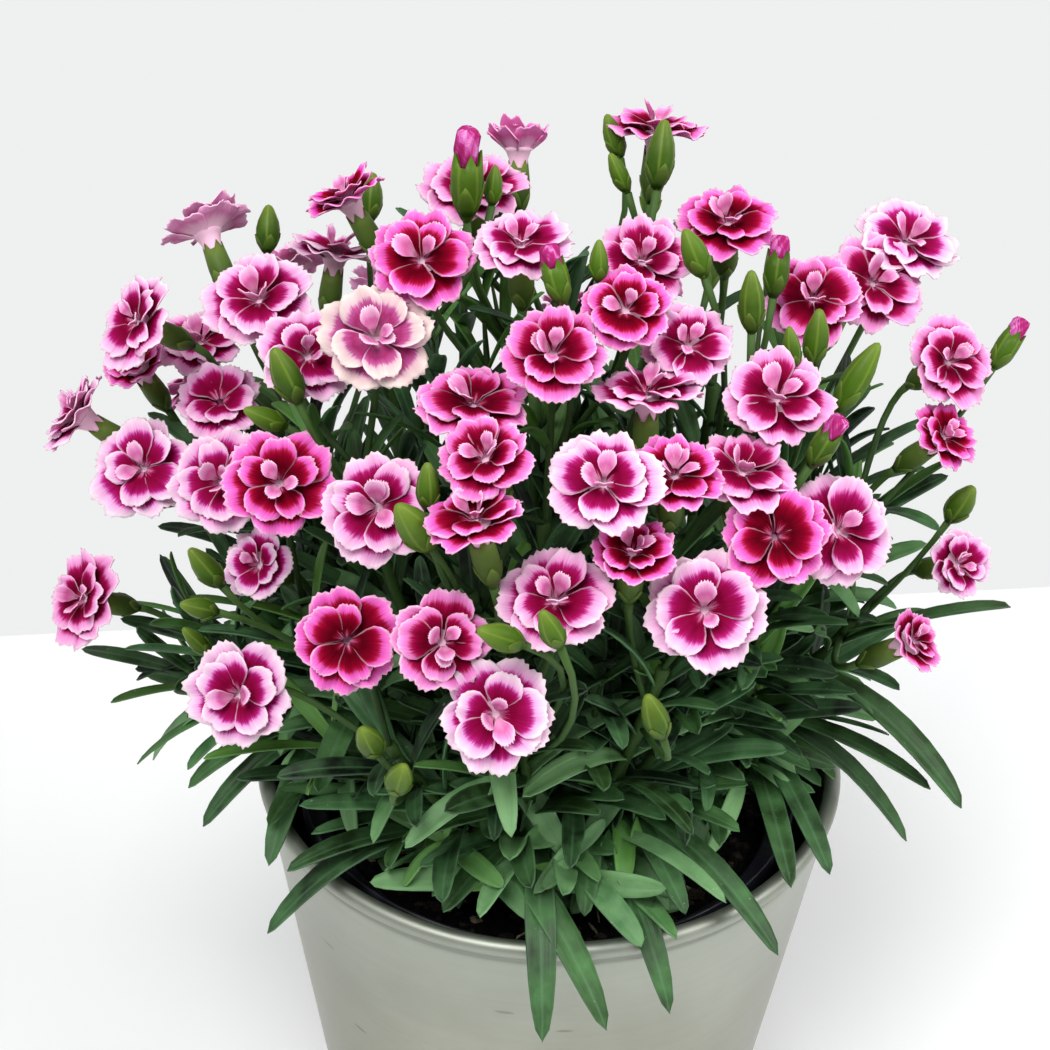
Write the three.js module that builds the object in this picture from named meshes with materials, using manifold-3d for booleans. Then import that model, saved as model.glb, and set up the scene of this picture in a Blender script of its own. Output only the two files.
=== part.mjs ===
// A pot of dianthus: three rooted plants in a plastic nursery pot that stands in a zinc bucket.
// Millimetres, +Z up. The origin is the middle of the bucket's underside, and -Y is the front.
import * as THREE from "three";
import { mergeVertices } from "three/addons/utils/BufferGeometryUtils.js";
import Module from "manifold-3d";

const wasm = await Module();
wasm.setup();

// ---------------------------------------------------------------- driving dimensions
const BUCKET_TALL = 175;
const BUCKET_WIDE = 190;
const BUCKET_BASE_RADIUS = 71;
const BUCKET_SHEET = 1;
const BEAD = 2.6;
const BUCKET_SIDES = 32;

const NURSERY_LIP_RADIUS = 81;
const NURSERY_LIP_TALL = 9;
const NURSERY_LEDGE = 7;
const NURSERY_TOP = 167;
const NURSERY_BASE_RADIUS = 60;
const NURSERY_WALL = 1.2;
const NURSERY_FORWARD = 3;
const NURSERY_SIDES = 24;

const REST_GAP = 0.3;
const SOIL_TOP = 153;
const SOIL_BUMP = 1.6;
const SOIL_SIDES = 20;

const CROWN_RADIUS = 6;
const CROWN_DEEP = 9;
const CROWN_HOLE = 6.8;
const CROWN_SPREAD = 3.4;
const CROWNS = {
  front: [0, -34],
  left: [-32, 14],
  right: [32, 14],
};

const STEM_ROOT_RADIUS = 2;
const STEM_TOP_RADIUS = 1.5;
const PEDICEL_RADIUS = 1.1;
const BUD_STALK_RADIUS = 1;
const BUD_SWELL = 0.45;
const STEM_SIDES = 4;
const FORK_DROP = 22;
const BRANCH_STEP = 0.07;
const BRANCH_ROOT_RADIUS = 0.7;

const CALYX_LONG = 19;
const CALYX_WIDEST = 4.1;
const CALYX_MOUTH = 3.6;
const CALYX_SWELL = 0.34;
const PETALS_ABOVE_CALYX = 1.5;

const PETALS = 5;
const COLLAR = 3.9;
const BLADE = 0.8;
const PETAL_RIDGE = 0.65;
const OUTER_DECK = 0.9;
const OUTER_LIFT = 8;
const OUTER_CLOSING = 50;
const INNER_REACH = 0.82;
const INNER_COLLAR = 2.4;
const INNER_DECK = 2.6;
const INNER_UNDER = 1.5;
const INNER_LIFT = 15;
const INNER_CLOSING = 48;
// Points along a petal's margin: petal widths off its middle, share of its reach, and ruffle.
const OUTER_MARGIN = [
  [-0.45, 0.8, 0],
  [-0.25, 0.98, 0.06],
  [0, 0.92, -0.05],
  [0.25, 1, 0.05],
  [0.45, 0.8, 0],
];
const INNER_MARGIN = [[-0.33, 0.9, -0.03], [0.3, 1, 0.04]];

const PAIR_LONG_LOW = 66;
const PAIR_LONG_HIGH = 40;
const PAIR_HALF_WIDTH = 3.5;
const CLEAR = 0.5;
const FUSE_TOLERANCE = 0.2;

// ---------------------------------------------------------------- what grows on each stem
// A bloom is [x, y, z of the middle of its petals, degrees round from the front, degrees up,
// width across, how far open]. A bud is [x, y, z of its middle, round, up, length, width].
const STEMS = [
  { plant: "left", blooms: [[-104, 20, 342, -146, 46, 28, 0.8], [-86, -5, 332, -15, 60, 33, 1]],
    buds: [[-86, 18, 344, 177, 64, 14, 7]] },
  { plant: "left", blooms: [[-121, -2, 323, -51, 36, 29, 1], [-142, 2, 290, -85, 37, 27, 0.8],
    [-100, 0, 297, -13, 62, 28, 1], [-127, 16, 300, -45, 63, 22, 0.7]], buds: [] },
  { plant: "left", blooms: [[-122, -9, 279, -16, 42, 32, 1], [-110, 28, 302, -5, 77, 29, 1]], buds: [] },
  { plant: "left", blooms: [[-141, -19, 239, -46, 32, 30, 1]], buds: [] },
  { plant: "left", blooms: [[-63, 20, 353, -99, 61, 24, 0.8], [-69, 36, 329, 157, 72, 29, 1],
    [-40, 78, 312, 165, 55, 31, 1]], buds: [[-60, 60, 338, 170, 70, 15, 7]] },
  { plant: "left", blooms: [[-88, 64, 310, -150, 50, 30, 1], [-116, 48, 278, -120, 30, 28, 1],
    [-58, 100, 288, 165, 32, 31, 1]], buds: [[-104, 60, 300, -140, 50, 15, 7]] },
  { plant: "front", blooms: [[-69, -35, 330, 20, 45, 27, 1], [-50, -43, 340, 4, 46, 30, 1]],
    buds: [[-73, -48, 331, -88, 70, 17, 8], [-80, -42, 315, -75, 31, 13, 6]] },
  { plant: "front", blooms: [[-75, -56, 303, 7, 43, 30, 1], [-95, -31, 288, -12, 40, 30, 1],
    [-84, -42, 268, -31, 39, 22, 0.8]], buds: [[-97, -53, 274, -83, 58, 15, 7],
    [-98, -61, 266, -60, 30, 12, 6]] },
  { plant: "front", blooms: [[-47, -75, 308, -8, 40, 31, 1], [-20, -82, 327, -30, 60, 25, 1],
    [-22, -93, 316, -75, 76, 25, 1]], buds: [[-37, -90, 312, -44, 57, 20, 9]] },
  { plant: "front", blooms: [[-24, -58, 329, -7, 80, 31, 1], [-4, -58, 344, -1, 55, 28, 1],
    [9, -84, 322, -6, 55, 29, 1]], buds: [] },
  { plant: "front", blooms: [[-55, -87, 275, 0, 32, 28, 1], [-86, -74, 247, -17, 30, 31, 1]],
    buds: [[-48, -104, 256, -27, 61, 15, 7], [-40, -110, 249, 24, 62, 16, 7]] },
  { plant: "front", blooms: [[-30, -95, 281, 11, 40, 26, 1], [-2, -93, 293, -2, 62, 30, 1],
    [-16, -104, 266, 3, 32, 30, 1]], buds: [[-15, -106, 291, -71, 30, 14, 7],
    [-3, -112, 298, -68, 66, 13, 6]] },
  { plant: "front", blooms: [[36, -89, 289, -7, 37, 32, 1], [53, -80, 306, 0, 43, 28, 1],
    [17, -87, 304, -3, 69, 22, 0.8]], buds: [[24, -106, 268, -67, 70, 16, 7]] },
  { plant: "front", blooms: [[-13, -30, 361, -7, 76, 27, 1], [-39, -27, 355, -6, 52, 30, 1],
    [14, -48, 352, -6, 52, 25, 1]], buds: [[-4, -45, 360, -128, 69, 16, 7]] },
  { plant: "right", blooms: [[27, -76, 320, -3, 72, 26, 1], [20, -57, 333, -162, 82, 28, 1],
    [31, -43, 340, 8, 52, 25, 1], [45, -68, 317, 8, 72, 27, 1]], buds: [[66, -63, 324, 86, 67, 16, 7]] },
  { plant: "right", blooms: [[19, -24, 355, -1, 56, 28, 1], [43, -3, 358, -10, 68, 28, 1],
    [54, -52, 330, 4, 62, 30, 1]], buds: [[32, -31, 361, -114, 62, 14, 7],
    [56, -15, 351, 167, 70, 17, 7], [47, -38, 351, -150, 81, 17, 7]] },
  { plant: "right", blooms: [[24, 24, 374, 168, 80, 28, 1], [-27, 16, 358, -6, 74, 32, 1],
    [-15, 53, 358, -176, 67, 24, 0.2]], buds: [[-28, -6, 371, 0, 84, 27, 9],
    [24, 3, 375, 167, 70, 19, 8]] },
  { plant: "right", blooms: [[68, -7, 338, -9, 49, 28, 1], [88, 14, 334, 21, 48, 32, 1],
    [99, 28, 341, 29, 67, 33, 1]], buds: [[66, -31, 338, 169, 82, 16, 7],
    [79, -28, 325, 112, 61, 22, 8]] },
  { plant: "right", blooms: [[110, 1, 316, 29, 44, 28, 1], [109, -11, 298, 50, 50, 22, 1],
    [71, -67, 300, 15, 40, 31, 1]], buds: [[129, 10, 318, 126, 52, 17, 7]] },
  { plant: "right", blooms: [[118, -16, 258, 29, 35, 22, 0.8], [99, -53, 256, 56, 44, 19, 0.7]],
    buds: [[119, -6, 273, 86, 66, 14, 8]] },
  { plant: "right", blooms: [[6, 86, 288, 178, 52, 31, 1], [50, 80, 322, 165, 50, 31, 1],
    [28, 110, 290, 172, 30, 29, 1]], buds: [[28, 90, 330, 178, 60, 16, 7]] },
  { plant: "right", blooms: [[92, 68, 304, 140, 42, 31, 1]], buds: [[72, 92, 300, 150, 42, 16, 7]] },
];

// Short shoots without a flower: the plant and where the shoot ends.
const SHOOTS = [
  ["front", [22, -48, 190]],
  ["front", [-30, -56, 184]],
  ["right", [66, -14, 200]],
  ["left", [-70, -8, 186]],
  ["left", [-24, 62, 190]],
  ["right", [52, 54, 190]],
];

// Long single leaves: the plant, about where the leaf leaves its stem, its tip, its width and
// how far its back rises above the straight line.
const LONG_LEAVES = [
  ["front", [-24, -50, 190], [17, -108, 158], 10, 24],
  ["front", [-10, -60, 182], [-1, -113, 158], 9, 24],
  ["front", [14, -52, 182], [35, -103, 160], 8.5, 24],
  ["front", [16, -52, 184], [10, -90, 184], 7.5, 8],
  ["front", [26, -48, 186], [39, -86, 182], 7.5, 8],
  ["front", [26, -48, 190], [66, -90, 171], 8.5, 16],
  ["right", [60, -20, 186], [70, -76, 184], 8, 10],
  ["right", [62, -16, 190], [82, -70, 184], 8, 10],
  ["front", [22, -48, 190], [55, -66, 196], 7.5, 8],
  ["right", [66, -14, 196], [113, -33, 165], 9, 18],
  ["right", [70, -18, 215], [126, -40, 185], 11, 14],
  ["right", [76, -16, 226], [128, -42, 261], 9, 6],
  ["right", [72, -14, 204], [117, -35, 188], 8, 8],
  ["front", [-30, -54, 186], [-82, -80, 164], 9, 22],
  ["front", [-32, -50, 190], [-76, -75, 184], 8, 10],
  ["left", [-52, -10, 184], [-84, -56, 184], 8, 10],
  ["left", [-64, -8, 186], [-107, -41, 170], 8.5, 16],
  ["left", [-68, -6, 190], [-113, -30, 176], 8.5, 14],
  ["left", [-70, -8, 186], [-84, -60, 172], 8.5, 18],
  ["front", [-50, -40, 220], [-66, -74, 213], 8.5, 8],
  ["right", [30, -34, 204], [60, -50, 240], 12, 6],
  ["right", [38, -30, 190], [77, -47, 204], 8.5, 8],
  ["front", [20, -46, 190], [2, -76, 222], 8, 6],
  ["front", [-4, -64, 184], [-30, -90, 184], 8, 8],
  ["left", [-60, 30, 190], [-112, 40, 174], 9, 16],
  ["left", [-30, 60, 190], [-60, 98, 166], 9, 20],
  ["left", [-20, 60, 190], [-14, 108, 164], 9, 22],
  ["right", [30, 56, 190], [30, 106, 166], 9, 22],
  ["right", [52, 50, 190], [78, 82, 168], 9, 20],
  ["right", [70, 24, 190], [112, 42, 172], 9, 16],
];

// ---------------------------------------------------------------- small helpers
const UP = new THREE.Vector3(0, 0, 1);
const ALONG_X = new THREE.Vector3(1, 0, 0);

function point(x, y, z) {
  return new THREE.Vector3(x, y, z);
}

function radians(degrees) {
  return (degrees * Math.PI) / 180;
}

// Repeatable numbers between 0 and 1, the same for every build.
function makeDraw(seed) {
  let state = seed * 7919 + 104729;
  return () => {
    state = (state * 16807) % 2147483647;
    return state / 2147483647;
  };
}

function facing(round, up) {
  const flat = Math.cos(radians(up));
  return point(flat * Math.sin(radians(round)), -flat * Math.cos(radians(round)), Math.sin(radians(up)));
}

function sideOf(direction) {
  const side = new THREE.Vector3().crossVectors(UP, direction);
  return side.length() < 0.02 ? ALONG_X.clone() : side.normalize();
}

function bend(start, control, end, t) {
  return start.clone().multiplyScalar((1 - t) * (1 - t))
    .addScaledVector(control, 2 * t * (1 - t))
    .addScaledVector(end, t * t);
}

function bendDirection(start, control, end, t) {
  const direction = new THREE.Vector3().subVectors(control, start).multiplyScalar(1 - t);
  return direction.addScaledVector(new THREE.Vector3().subVectors(end, control), t).normalize();
}

// ---------------------------------------------------------------- solids and meshes
function geometryFrom(points, faces) {
  const geometry = new THREE.BufferGeometry();
  geometry.setAttribute("position", new THREE.Float32BufferAttribute(points.flatMap((p) => p.toArray()), 3));
  geometry.setIndex(faces.flat());
  return geometry;
}

function solidFrom(geometry) {
  const bare = geometry.clone();
  bare.deleteAttribute("normal");
  bare.deleteAttribute("uv");
  const merged = mergeVertices(bare, 1e-4);
  return new wasm.Manifold(new wasm.Mesh({
    numProp: 3,
    vertProperties: new Float32Array(merged.attributes.position.array),
    triVerts: new Uint32Array(merged.index.array),
  }));
}

// Joins solids, then keeps the one outer body: scraps are dropped and sealed hollows filled.
function fuse(solids) {
  const pieces = wasm.Manifold.union(solids).asOriginal().simplify(FUSE_TOLERANCE).decompose();
  return pieces.reduce((best, piece) => (piece.volume() > best.volume() ? piece : best));
}

function meshFrom(name, solid, material) {
  const result = solid.getMesh();
  const geometry = new THREE.BufferGeometry();
  geometry.setAttribute("position", new THREE.Float32BufferAttribute(result.vertProperties, 3));
  geometry.setIndex(Array.from(result.triVerts));
  const mesh = new THREE.Mesh(geometry, material);
  mesh.name = name;
  return mesh;
}

// A closed skin over rings of points; a ring of one point closes the end. From the strip
// numbered flipFrom on, the squares are split along the other diagonal.
function skin(rings, flipFrom = 99) {
  const points = [];
  const faces = [];
  const ids = rings.map((ring) => ring.map((p) => points.push(p) - 1));
  for (let i = 0; i + 1 < ids.length; i += 1) {
    const [near, far] = [ids[i], ids[i + 1]];
    const count = Math.max(near.length, far.length);
    for (let j = 0; j < count; j += 1) {
      const k = (j + 1) % count;
      if (near.length === 1) faces.push([near[0], far[k], far[j]]);
      else if (far.length === 1) faces.push([near[j], near[k], far[0]]);
      else if (j < flipFrom) faces.push([near[j], near[k], far[k]], [near[j], far[k], far[j]]);
      else faces.push([near[j], near[k], far[j]], [near[k], far[k], far[j]]);
    }
  }
  const [first, last] = [ids[0], ids[ids.length - 1]];
  for (let j = 1; j + 1 < first.length; j += 1) faces.push([first[0], first[j + 1], first[j]]);
  for (let j = 1; j + 1 < last.length; j += 1) faces.push([last[0], last[j], last[j + 1]]);
  return solidFrom(geometryFrom(points, faces));
}

// A round-sectioned loft through stations of { at, radius }; a radius of 0 ends in a point.
function loft(stations) {
  let across = null;
  const rings = stations.map((station, i) => {
    const before = stations[Math.max(i - 1, 0)].at;
    const after = stations[Math.min(i + 1, stations.length - 1)].at;
    const along = new THREE.Vector3().subVectors(after, before).normalize();
    across = across ?? sideOf(along);
    across = across.clone().addScaledVector(along, -across.dot(along)).normalize();
    if (station.radius === 0) return [station.at];
    const other = new THREE.Vector3().crossVectors(along, across);
    const ring = [];
    for (let j = 0; j < STEM_SIDES; j += 1) {
      const angle = (2 * Math.PI * j) / STEM_SIDES;
      ring.push(station.at.clone()
        .addScaledVector(across, station.radius * Math.cos(angle))
        .addScaledVector(other, station.radius * Math.sin(angle)));
    }
    return ring;
  });
  return skin(rings);
}

// ---------------------------------------------------------------- pot and soil
function lathe(profile, sides) {
  return solidFrom(new THREE.LatheGeometry(profile.map(([r, z]) => new THREE.Vector2(r, z)), sides)
    .rotateX(Math.PI / 2));
}

function bucketSolid() {
  const rim = BUCKET_WIDE / 2;
  const beadAt = rim - BEAD;
  const beadHeight = BUCKET_TALL - BEAD;
  const neck = beadAt - 0.6;
  const bead = [];
  for (let step = 0; step <= 3; step += 1) {
    const angle = radians(-50 + step * 76);
    bead.push([beadAt + BEAD * Math.cos(angle), beadHeight + BEAD * Math.sin(angle)]);
  }
  return lathe([
    [0, 0],
    [BUCKET_BASE_RADIUS, 0],
    [neck + 0.8, beadHeight - 7],
    [neck, beadHeight - 4.4],
    ...bead,
    [neck - BUCKET_SHEET, beadHeight - 5],
    [BUCKET_BASE_RADIUS - BUCKET_SHEET, BUCKET_SHEET],
    [0, BUCKET_SHEET],
  ], BUCKET_SIDES);
}

function nurserySolid() {
  const floor = BUCKET_SHEET + REST_GAP;
  const lipUnder = NURSERY_TOP - NURSERY_LIP_TALL;
  const wallTop = NURSERY_LIP_RADIUS - NURSERY_LEDGE;
  return lathe([
    [0, floor],
    [NURSERY_BASE_RADIUS, floor],
    [wallTop, lipUnder],
    [NURSERY_LIP_RADIUS, lipUnder],
    [NURSERY_LIP_RADIUS, NURSERY_TOP],
    [NURSERY_LIP_RADIUS - NURSERY_WALL, NURSERY_TOP],
    [NURSERY_LIP_RADIUS - NURSERY_WALL, lipUnder + NURSERY_WALL],
    [wallTop - NURSERY_WALL, lipUnder + NURSERY_WALL],
    [NURSERY_BASE_RADIUS - NURSERY_WALL, floor + NURSERY_WALL],
    [0, floor + NURSERY_WALL],
  ], NURSERY_SIDES).translate([0, -NURSERY_FORWARD, 0]);
}

// The soil fills the nursery pot to below its lip, with a lumpy top and a hole for each crown.
function soilSolid() {
  const floor = BUCKET_SHEET + NURSERY_WALL + 2 * REST_GAP;
  const lipUnder = NURSERY_TOP - NURSERY_LIP_TALL;
  const slope = (NURSERY_LIP_RADIUS - NURSERY_LEDGE - NURSERY_BASE_RADIUS) / (lipUnder - BUCKET_SHEET);
  const inside = (z) => NURSERY_BASE_RADIUS - NURSERY_WALL - 2.5 * REST_GAP + slope * (z - floor);
  const edge = inside(SOIL_TOP);
  const geometry = new THREE.LatheGeometry([
    [0, floor],
    [inside(floor), floor],
    [edge, SOIL_TOP - 2],
    [edge * 0.8, SOIL_TOP],
    [edge * 0.45, SOIL_TOP],
    [0, SOIL_TOP],
  ].map(([r, z]) => new THREE.Vector2(r, z)), SOIL_SIDES).rotateX(Math.PI / 2);
  const spots = geometry.attributes.position;
  for (let i = 0; i < spots.count; i += 1) {
    const [x, y, z] = [spots.getX(i), spots.getY(i), spots.getZ(i)];
    const bump = Math.sin(0.21 * x + 0.6) * Math.cos(0.17 * y) + Math.sin(0.11 * (x + y));
    if (z > SOIL_TOP - 1) spots.setZ(i, z + 0.5 * SOIL_BUMP * bump);
  }
  let soil = solidFrom(geometry).translate([0, -NURSERY_FORWARD, 0]);
  for (const [x, y] of Object.values(CROWNS)) {
    const hole = new THREE.CylinderGeometry(CROWN_HOLE, CROWN_HOLE, 2 * CROWN_DEEP + 4, 10)
      .rotateX(Math.PI / 2).translate(x, y, SOIL_TOP);
    soil = soil.subtract(solidFrom(hole));
  }
  return soil;
}

// ---------------------------------------------------------------- blooms
// A bloom is one closed body. A layer of petals spreads from a ring of collar points: each petal
// runs from its stretch of the ring to a toothed margin and has its own ridge. The inner layer's
// ring stands on the outer layer's, turned by half a petal.
function petalLayer(body, { collar, deck, under, reach, lift, margin, turn }, draw) {
  const step = (2 * Math.PI) / PETALS;
  const add = (angle, radius, height) =>
    body.points.push(point(radius * Math.cos(angle), radius * Math.sin(angle), height)) - 1;
  const ringAt = (height) => {
    const ring = [];
    for (let k = 0; k < PETALS; k += 1) ring.push(add(turn + (k - 0.5) * step, collar, height));
    return ring;
  };
  const deckRing = ringAt(deck);
  const lowRing = ringAt(under);
  for (let k = 0; k < PETALS; k += 1) {
    const next = (k + 1) % PETALS;
    const grown = reach * (0.95 + 0.1 * draw());
    const sway = draw() < 0.5 ? -1 : 1;
    const place = (offset, ratio, height) => {
      const along = ratio * grown - collar;
      const angle = turn + (k + offset) * step;
      return add(angle, collar + along * Math.cos(lift), along * Math.sin(lift) + height);
    };
    const level = deck - BLADE;
    const rim = margin.map(([offset, ratio, ruffle]) => place(offset, ratio, level + sway * ruffle * reach));
    const crest = place(0, PETAL_RIDGE, level + BLADE / 2);
    const keel = place(0, PETAL_RIDGE, level - BLADE / 2);
    const above = [deckRing[k], ...rim, deckRing[next]];
    const below = [lowRing[k], ...rim, lowRing[next]];
    for (let i = 0; i + 1 < above.length; i += 1) {
      body.faces.push([crest, above[i], above[i + 1]], [keel, below[i + 1], below[i]]);
    }
    body.faces.push([crest, deckRing[next], deckRing[k]], [keel, lowRing[k], lowRing[next]]);
    body.faces.push([rim[0], deckRing[k], lowRing[k]], [deckRing[next], rim[rim.length - 1], lowRing[next]]);
  }
  return { deckRing, lowRing };
}

function bloomSolid([x, y, z, round, up, across, open], draw) {
  const body = { points: [], faces: [] };
  const turn = 2 * Math.PI * draw();
  const outer = petalLayer(body, {
    collar: COLLAR, deck: OUTER_DECK, under: -PETALS_ABOVE_CALYX + REST_GAP, reach: across / 2,
    lift: radians(OUTER_LIFT + OUTER_CLOSING * (1 - open)), margin: OUTER_MARGIN, turn,
  }, draw);
  const inner = petalLayer(body, {
    collar: INNER_COLLAR, deck: INNER_DECK, under: INNER_UNDER, reach: INNER_REACH * (across / 2),
    lift: radians(INNER_LIFT + INNER_CLOSING * (1 - open)), margin: INNER_MARGIN,
    turn: turn + Math.PI / PETALS,
  }, draw);
  for (let k = 0; k < PETALS; k += 1) {
    const next = (k + 1) % PETALS;
    body.faces.push([outer.deckRing[k], outer.deckRing[next], inner.lowRing[k]]);
    body.faces.push([outer.deckRing[next], inner.lowRing[next], inner.lowRing[k]]);
  }
  for (let k = 1; k + 1 < PETALS; k += 1) {
    body.faces.push([inner.deckRing[0], inner.deckRing[k], inner.deckRing[k + 1]]);
    body.faces.push([outer.lowRing[0], outer.lowRing[k + 1], outer.lowRing[k]]);
  }
  const w = facing(round, up);
  const u = sideOf(w);
  const v = new THREE.Vector3().crossVectors(w, u);
  const placed = new THREE.Matrix4().makeBasis(u, v, w).setPosition(x, y, z);
  return solidFrom(geometryFrom(body.points, body.faces)).transform(placed.elements);
}

// ---------------------------------------------------------------- stems
// A calyx ends PETALS_ABOVE_CALYX behind the middle of the petals, and a bud is given by its middle.
function bloomFoot([x, y, z, round, up]) {
  return point(x, y, z).addScaledVector(facing(round, up), -PETALS_ABOVE_CALYX - CALYX_LONG);
}

function budFoot([x, y, z, round, up, long]) {
  return point(x, y, z).addScaledVector(facing(round, up), -0.5 * long);
}

function stalkPoints(fork, foot, w) {
  const control = foot.clone().addScaledVector(w, -0.4 * fork.distanceTo(foot));
  const middle = bend(fork, control, foot, 0.5);
  const straight = fork.clone().lerp(foot, 0.5);
  return middle.distanceTo(straight) < 2.2 ? [fork, foot] : [fork, middle, foot];
}

// A stalk and its calyx as one loft. Stations in "before" come first, so that the bloom at the end
// of a stem carries that stem on.
function calyxSolid(fork, bloom, before = []) {
  const w = facing(bloom[3], bloom[4]);
  const foot = bloomFoot(bloom);
  const line = stalkPoints(fork, foot, w).slice(1);
  return loft([
    ...(before.length ? before : [{ at: fork, radius: BRANCH_ROOT_RADIUS }]),
    ...line.map((at) => ({ at, radius: PEDICEL_RADIUS })),
    { at: foot.clone().addScaledVector(w, CALYX_SWELL * CALYX_LONG), radius: CALYX_WIDEST },
    { at: foot.clone().addScaledVector(w, CALYX_LONG), radius: CALYX_MOUTH },
  ]);
}

function budSolid(fork, bud) {
  const [round, up, long, wide] = bud.slice(3);
  const w = facing(round, up);
  const foot = budFoot(bud);
  const stations = stalkPoints(fork, foot, w).map((at) => ({ at, radius: BUD_STALK_RADIUS }));
  stations[0].radius = BRANCH_ROOT_RADIUS;
  stations.push({ at: foot.clone().addScaledVector(w, BUD_SWELL * long), radius: wide / 2 });
  stations.push({ at: foot.clone().addScaledVector(w, long), radius: 0 });
  return loft(stations);
}

function crownTop(plant) {
  return point(CROWNS[plant][0], CROWNS[plant][1], SOIL_TOP + 2);
}

// The fork of a stem lies below the middle of what it carries, on the way back to the crown.
function forkOf({ plant, blooms, buds }) {
  const feet = [...blooms.map(bloomFoot), ...buds.map(budFoot)];
  const middle = new THREE.Vector3();
  for (const foot of feet) middle.addScaledVector(foot, 1 / feet.length);
  const back = new THREE.Vector3().subVectors(crownTop(plant), middle).normalize();
  return middle.addScaledVector(back, FORK_DROP);
}

// A stem leans out of the crown and then rises.
function stemCurve(plant, end) {
  const crown = crownTop(plant);
  const lean = new THREE.Vector3().subVectors(end, crown).setZ(0);
  const start = crown.clone().addScaledVector(lean.normalize(), CROWN_SPREAD);
  const control = start.clone().lerp(end, 0.62).setZ(start.z + 0.42 * (end.z - start.z));
  return { start, control, end };
}

function stemStations({ start, control, end }, segments) {
  const stations = [];
  for (let i = 0; i <= segments; i += 1) {
    const t = i / segments;
    stations.push({
      at: bend(start, control, end, t),
      radius: STEM_ROOT_RADIUS + t * (STEM_TOP_RADIUS - STEM_ROOT_RADIUS),
    });
  }
  return stations;
}

function crownSolid(plant) {
  const top = crownTop(plant);
  return loft([
    { at: top.clone().setZ(SOIL_TOP - CROWN_DEEP), radius: CROWN_RADIUS * 0.7 },
    { at: top.clone().setZ(SOIL_TOP - 3), radius: CROWN_RADIUS },
    { at: top.clone().setZ(SOIL_TOP + 4), radius: CROWN_RADIUS * 0.95 },
  ]);
}

// ---------------------------------------------------------------- leaves
// A leaf's section is a shallow V: two edges, a groove between them and a keel below.
function bladeRing(at, along, side, half) {
  const over = new THREE.Vector3().crossVectors(along, side).normalize();
  const edge = 0.3 * half;
  return [
    at.clone().addScaledVector(side, half).addScaledVector(over, edge),
    at.clone().addScaledVector(over, 0.35),
    at.clone().addScaledVector(side, -half).addScaledVector(over, edge),
    at.clone().addScaledVector(over, -0.45),
  ];
}

function longLeafSolid(root, tip, width, arch) {
  const control = root.clone().lerp(tip, 0.5).addScaledVector(UP, arch);
  const out = new THREE.Vector3().subVectors(tip, root);
  const side = sideOf(out);
  const ring = (t, half) => {
    const along = bendDirection(root, control, tip, t);
    return bladeRing(bend(root, control, tip, t), along, side, half);
  };
  return skin([ring(0, 0.16 * width), ring(0.4, 0.5 * width), ring(0.75, 0.4 * width), [tip]], 2);
}

// The middle line of one leaf of a pair: out from the stem, up beside it, then over.
function leafLine(node, stemAlong, out, long, droop) {
  const control = node.clone().addScaledVector(out, 0.42 * long).addScaledVector(stemAlong, 0.36 * long);
  const tip = node.clone().addScaledVector(out, 0.86 * long).addScaledVector(stemAlong, 0.34 * long)
    .addScaledVector(UP, -droop * long);
  return { root: node, control, tip };
}

function pairSolid(node, stemAlong, out, long, droop, half) {
  const back = out.clone().negate();
  const left = leafLine(node, stemAlong, back, long, droop);
  const right = leafLine(node, stemAlong, out, long, droop);
  const side = new THREE.Vector3().crossVectors(stemAlong, out).normalize();
  const t = 0.42;
  const leftAlong = bendDirection(left.root, left.control, left.tip, t).negate();
  const rightAlong = bendDirection(right.root, right.control, right.tip, t);
  return skin([
    [left.tip],
    bladeRing(bend(left.root, left.control, left.tip, t), leftAlong, side, half),
    bladeRing(node, out, side, 0.3 * half),
    bladeRing(bend(right.root, right.control, right.tip, t), rightAlong, side, half),
    [right.tip],
  ], 2);
}

// ---------------------------------------------------------------- keeping clear
function distanceToSegment(p, a, b) {
  const along = new THREE.Vector3().subVectors(b, a);
  const t = Math.min(1, Math.max(0, new THREE.Vector3().subVectors(p, a).dot(along) / along.lengthSq()));
  return p.distanceTo(a.clone().addScaledVector(along, t));
}

function blockedByPot(p) {
  const radial = Math.hypot(p.x, p.y);
  if (p.z < SOIL_TOP + 5) return radial < 108;
  return p.z < BUCKET_TALL + 3 && radial > 74 && radial < 103;
}

// Stalks and leaves are kept as segments with a radius, petals as flat discs.
function blocked(p, half, rods, discs) {
  if (blockedByPot(p)) return true;
  for (const rod of rods) {
    if (distanceToSegment(p, rod.a, rod.b) < rod.radius + half + CLEAR) return true;
  }
  for (const disc of discs) {
    const from = new THREE.Vector3().subVectors(p, disc.middle);
    const height = from.dot(disc.w);
    const radial = from.addScaledVector(disc.w, -height).length();
    if (height > -4 && height < 12 && radial < disc.radius + half + 1) return true;
  }
  return false;
}

function leafSamples({ root, control, tip }) {
  return [0.2, 0.32, 0.44, 0.56, 0.68, 0.8, 0.9, 1].map((t) => bend(root, control, tip, t));
}

// ---------------------------------------------------------------- growing the plants
const rods = [];
const discs = [];
const plants = {};
const stems = [];

for (const plant of Object.keys(CROWNS)) plants[plant] = [crownSolid(plant)];

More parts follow.
